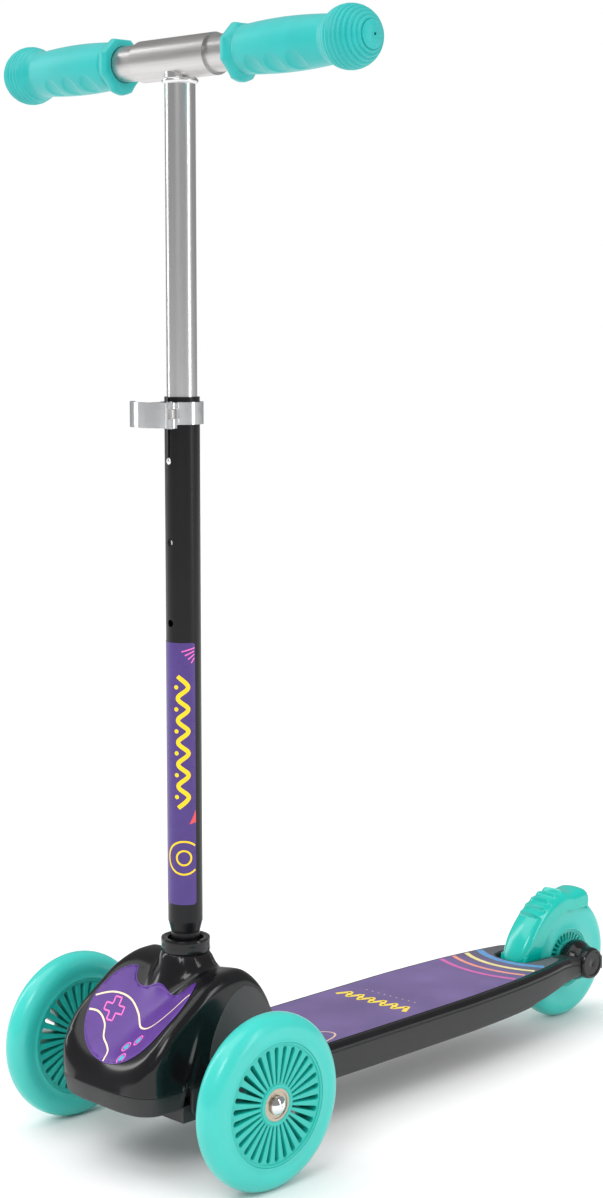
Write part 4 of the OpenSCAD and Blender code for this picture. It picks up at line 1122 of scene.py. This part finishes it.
BOSS = [(11.9, 9.2), (11.9, 12.6), (12.6, 14.6), (14.2, 15.9), (16.6, 16.6), (19.4, 16.6), (22, 15.8),
        (24.8, 14.3), (27.2, 13.3), (30, 12.9), (33.4, 12.8), (34.8, 12.5), (35.8, 11.8), (36.1, 10.9),
        (36.0, 9.9), (35.2, 9.3), (35.1, 6.0), (35.3, 2.4), (34.8, 1.4), (34.7, 0.02), (30, 0.02),
        (30, 4.1), (12.5, 4.1)]
for tag, s in SIDES:
    v, f = lathe([(s * x, r) for x, r in BOSS], (0, REAR_Y, REAR_Z), "x")
    ob = make(f"axle_cap_{tag}_skin", v, f, "gloss", "chassis", angle=30)
    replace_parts(ob, f"axle_cap_{tag}")


# ---------------------------------------------------------------- brake fender

FENDER_HALF = span("brake_fender", 0)[1]
PIVOT = (middle("brake_pin", 1), middle("brake_pin", 2))
# the fender runs from its tail to its front end, in degrees about the wheel from the rear over the top
TAIL = 63.0
FRONT_END = 173.5


def fender():
    """U-section shell over the wheel: rounded shoulders, stepped ridges on top and a rolled tail lip."""
    verts, faces = [], []
    angles = [TAIL + i * (FRONT_END - TAIL) / 150 for i in range(151)]
    across = 44
    n = across + 1
    for a in angles:
        crown, side, ra = interp(SPINE, a), fender_depth(a), math.radians(a)
        for i in range(n):
            x, r = fender_section(2 * i / across - 1, crown, side, a)
            r += ridge(a, x)
            verts.append((x, REAR_Y + r * math.cos(ra), REAR_Z + r * math.sin(ra)))
    for k in range(len(angles) - 1):
        for i in range(n - 1):
            a = k * n + i
            faces.append((a, a + 1, a + n + 1, a + n))
    ob = make("brake_fender_skin", verts, faces, "brake", "brake", angle=45)
    walled(ob, WALL)
    apply(ob)
    shade(ob, 45)
    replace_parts(ob, "brake_fender")
    # hinge barrel and web that join the fender to its pin
    prof = [(-12.8, 2.6), (-12.8, 5.4), (-12.3, 5.9), (-4.6, 5.9), (-4.3, 5.6), (-4.3, 2.6)]
    for tag, s in (("a", 1), ("b", -1)):
        v, f = lathe([(s * x, r) for x, r in prof], (0, PIVOT[0], PIVOT[1]), "x", 48)
        b = make(f"brake_hinge_{tag}", v, f, "brake", "brake")
        web = [(PIVOT[0] - 2.4, PIVOT[1] + 3.8), (PIVOT[0] + 3.0, PIVOT[1] + 4.8), (PIVOT[0] + 3.6, 62),
               (PIVOT[0] - 0.8, 62)]
        lo, hi = sorted((s * 12.6, s * 4.6))
        plate(f"brake_web_{tag}", [web], lo, hi, lambda u, v, w: (w, u, v), "brake", "brake", 0.4)


# radius of the crown at each angle
SPINE = fitted([(TAIL, 52.6), (TAIL + 1, 55.2), (TAIL + 3, 57.4), (TAIL + 7, 58.5), (TAIL + 11, 58.1),
                (TAIL + 16, 56.5), (TAIL + 21, 55.3), (TAIL + 26, 55.3), (TAIL + 31, 56.6), (100, 57.2),
                (130, 57.6), (145, 58.6), (158, 60.6), (168, 62.6), (FRONT_END, 63.4)], 6)


def fender_depth(a):
    """How far the side walls come in from the crown."""
    return interp([(TAIL, 8.6), (TAIL + 3, 13.0), (TAIL + 8, 15.4), (90, 14.6), (110, 15.6), (140, 17.5),
                   (150, 19.0), (160, 21.0), (FRONT_END, 23.5)], a)


def fender_section(t, crown, side, a):
    """t from -1 to 1 across; returns x and radius."""
    half = FENDER_HALF - 0.1
    if a > 150:
        half -= 1.6 * ((a - 150) / 20.0) ** 2
    rc, drop = 6.5, 0.54
    flat = half - rc
    arc_len = math.pi / 2 * rc
    total = flat + arc_len + (side - rc)
    s = abs(t) * total
    sign = 1 if t >= 0 else -1
    if s < flat:
        x, r = s, crown - drop * (s / flat) ** 2
    elif s < flat + arc_len:
        b = (s - flat) / rc
        x, r = flat + rc * math.sin(b), crown - drop - rc * (1 - math.cos(b))
    else:
        x, r = half, crown - drop - rc - (s - flat - arc_len)
    return sign * x, r


def ridge(a, x):
    """Stepped scales on the crown."""
    across = max(0.0, 1 - (abs(x) / 11.2) ** 8)
    p = (a - 93) / 8.4
    if p < 0 or p > 4.999:
        return 0.0
    q = p - math.floor(p)
    h = min(q / 0.72, 1.0) if q < 0.78 else max(0.0, 1 - (q - 0.78) / 0.2)
    return 2.3 * across * (h ** 1.2)


fender()


# ---------------------------------------------------------------- camera, floor and light

def area_light(name, at, aim, size, power, size_y=None):
    d = bpy.data.lights.new(name, "AREA")
    d.shape = "RECTANGLE"
    d.size = size
    d.size_y = size_y or size
    d.energy = power
    o = bpy.data.objects.new(name, d)
    bpy.context.scene.collection.objects.link(o)
    o.location = at
    o.rotation_euler = (Vector(aim) - Vector(at)).to_track_quat("-Z", "Y").to_euler()
    return o


def studio():
    me = bpy.data.meshes.new("floor")
    s, n = 6.0, 24
    verts = [(-s + 2 * s * i / n, -s + 2 * s * j / n, 0) for j in range(n + 1) for i in range(n + 1)]
    faces = [(j * (n + 1) + i, j * (n + 1) + i + 1, (j + 1) * (n + 1) + i + 1, (j + 1) * (n + 1) + i)
             for j in range(n) for i in range(n)]
    me.from_pydata(verts, [], faces)
    floor = bpy.data.objects.new("floor", me)
    bpy.context.scene.collection.objects.link(floor)
    m, t, p = nodes_of("floor_paper")
    p.inputs["Base Color"].default_value = (0.86, 0.86, 0.86, 1)
    p.inputs["Roughness"].default_value = 0.9
    me.materials.append(m)
    sky()


def sky():
    """White to the camera, dimmer in mirrors, with a soft sun and three lamps."""
    w = bpy.data.worlds.new("studio")
    bpy.context.scene.world = w
    w.use_nodes = True
    t = w.node_tree
    seen = t.nodes["Background"]
    seen.inputs["Strength"].default_value = 1.0
    seen.inputs["Color"].default_value = (1, 1, 1, 1)
    mirrored = add(t, "ShaderNodeBackground", Strength=0.38)
    path = add(t, "ShaderNodeLightPath")
    mix = add(t, "ShaderNodeMixShader")
    t.links.new(path.outputs["Is Glossy Ray"], mix.inputs[0])
    t.links.new(seen.outputs[0], mix.inputs[1])
    t.links.new(mirrored.outputs[0], mix.inputs[2])
    t.links.new(mix.outputs[0], t.nodes["World Output"].inputs["Surface"])
    sun = bpy.data.objects.new("sky_sun", bpy.data.lights.new("sky_sun", "SUN"))
    sun.data.energy = 0.9
    sun.data.angle = math.radians(50)
    sun.rotation_euler = (math.radians(16), math.radians(-14), 0)
    bpy.context.scene.collection.objects.link(sun)
    area_light("key", (0.9, -1.9, 1.9), (0, 0, 0.3), 0.9, 16)
    area_light("side", (-1.9, -0.9, 1.2), (0, 0, 0.4), 0.35, 9, 1.8)
    area_light("rim", (2.0, 0.6, 1.0), (0, 0, 0.35), 0.3, 8, 1.7)
    bpy.context.scene.view_settings.view_transform = "Standard"


def camera():
    cam = bpy.data.objects.new("camera", bpy.data.cameras.new("camera"))
    bpy.context.scene.collection.objects.link(cam)
    cam.location = (1.1220, -1.1907, 0.5742)
    cam.rotation_euler = (math.radians(82.8), 0, math.radians(45.23))
    cam.data.lens = 66.74
    cam.data.sensor_width = 36
    cam.data.clip_start = 0.05
    cam.data.clip_end = 50
    bpy.context.scene.camera = cam


studio()
camera()
bpy.context.view_layer.update()
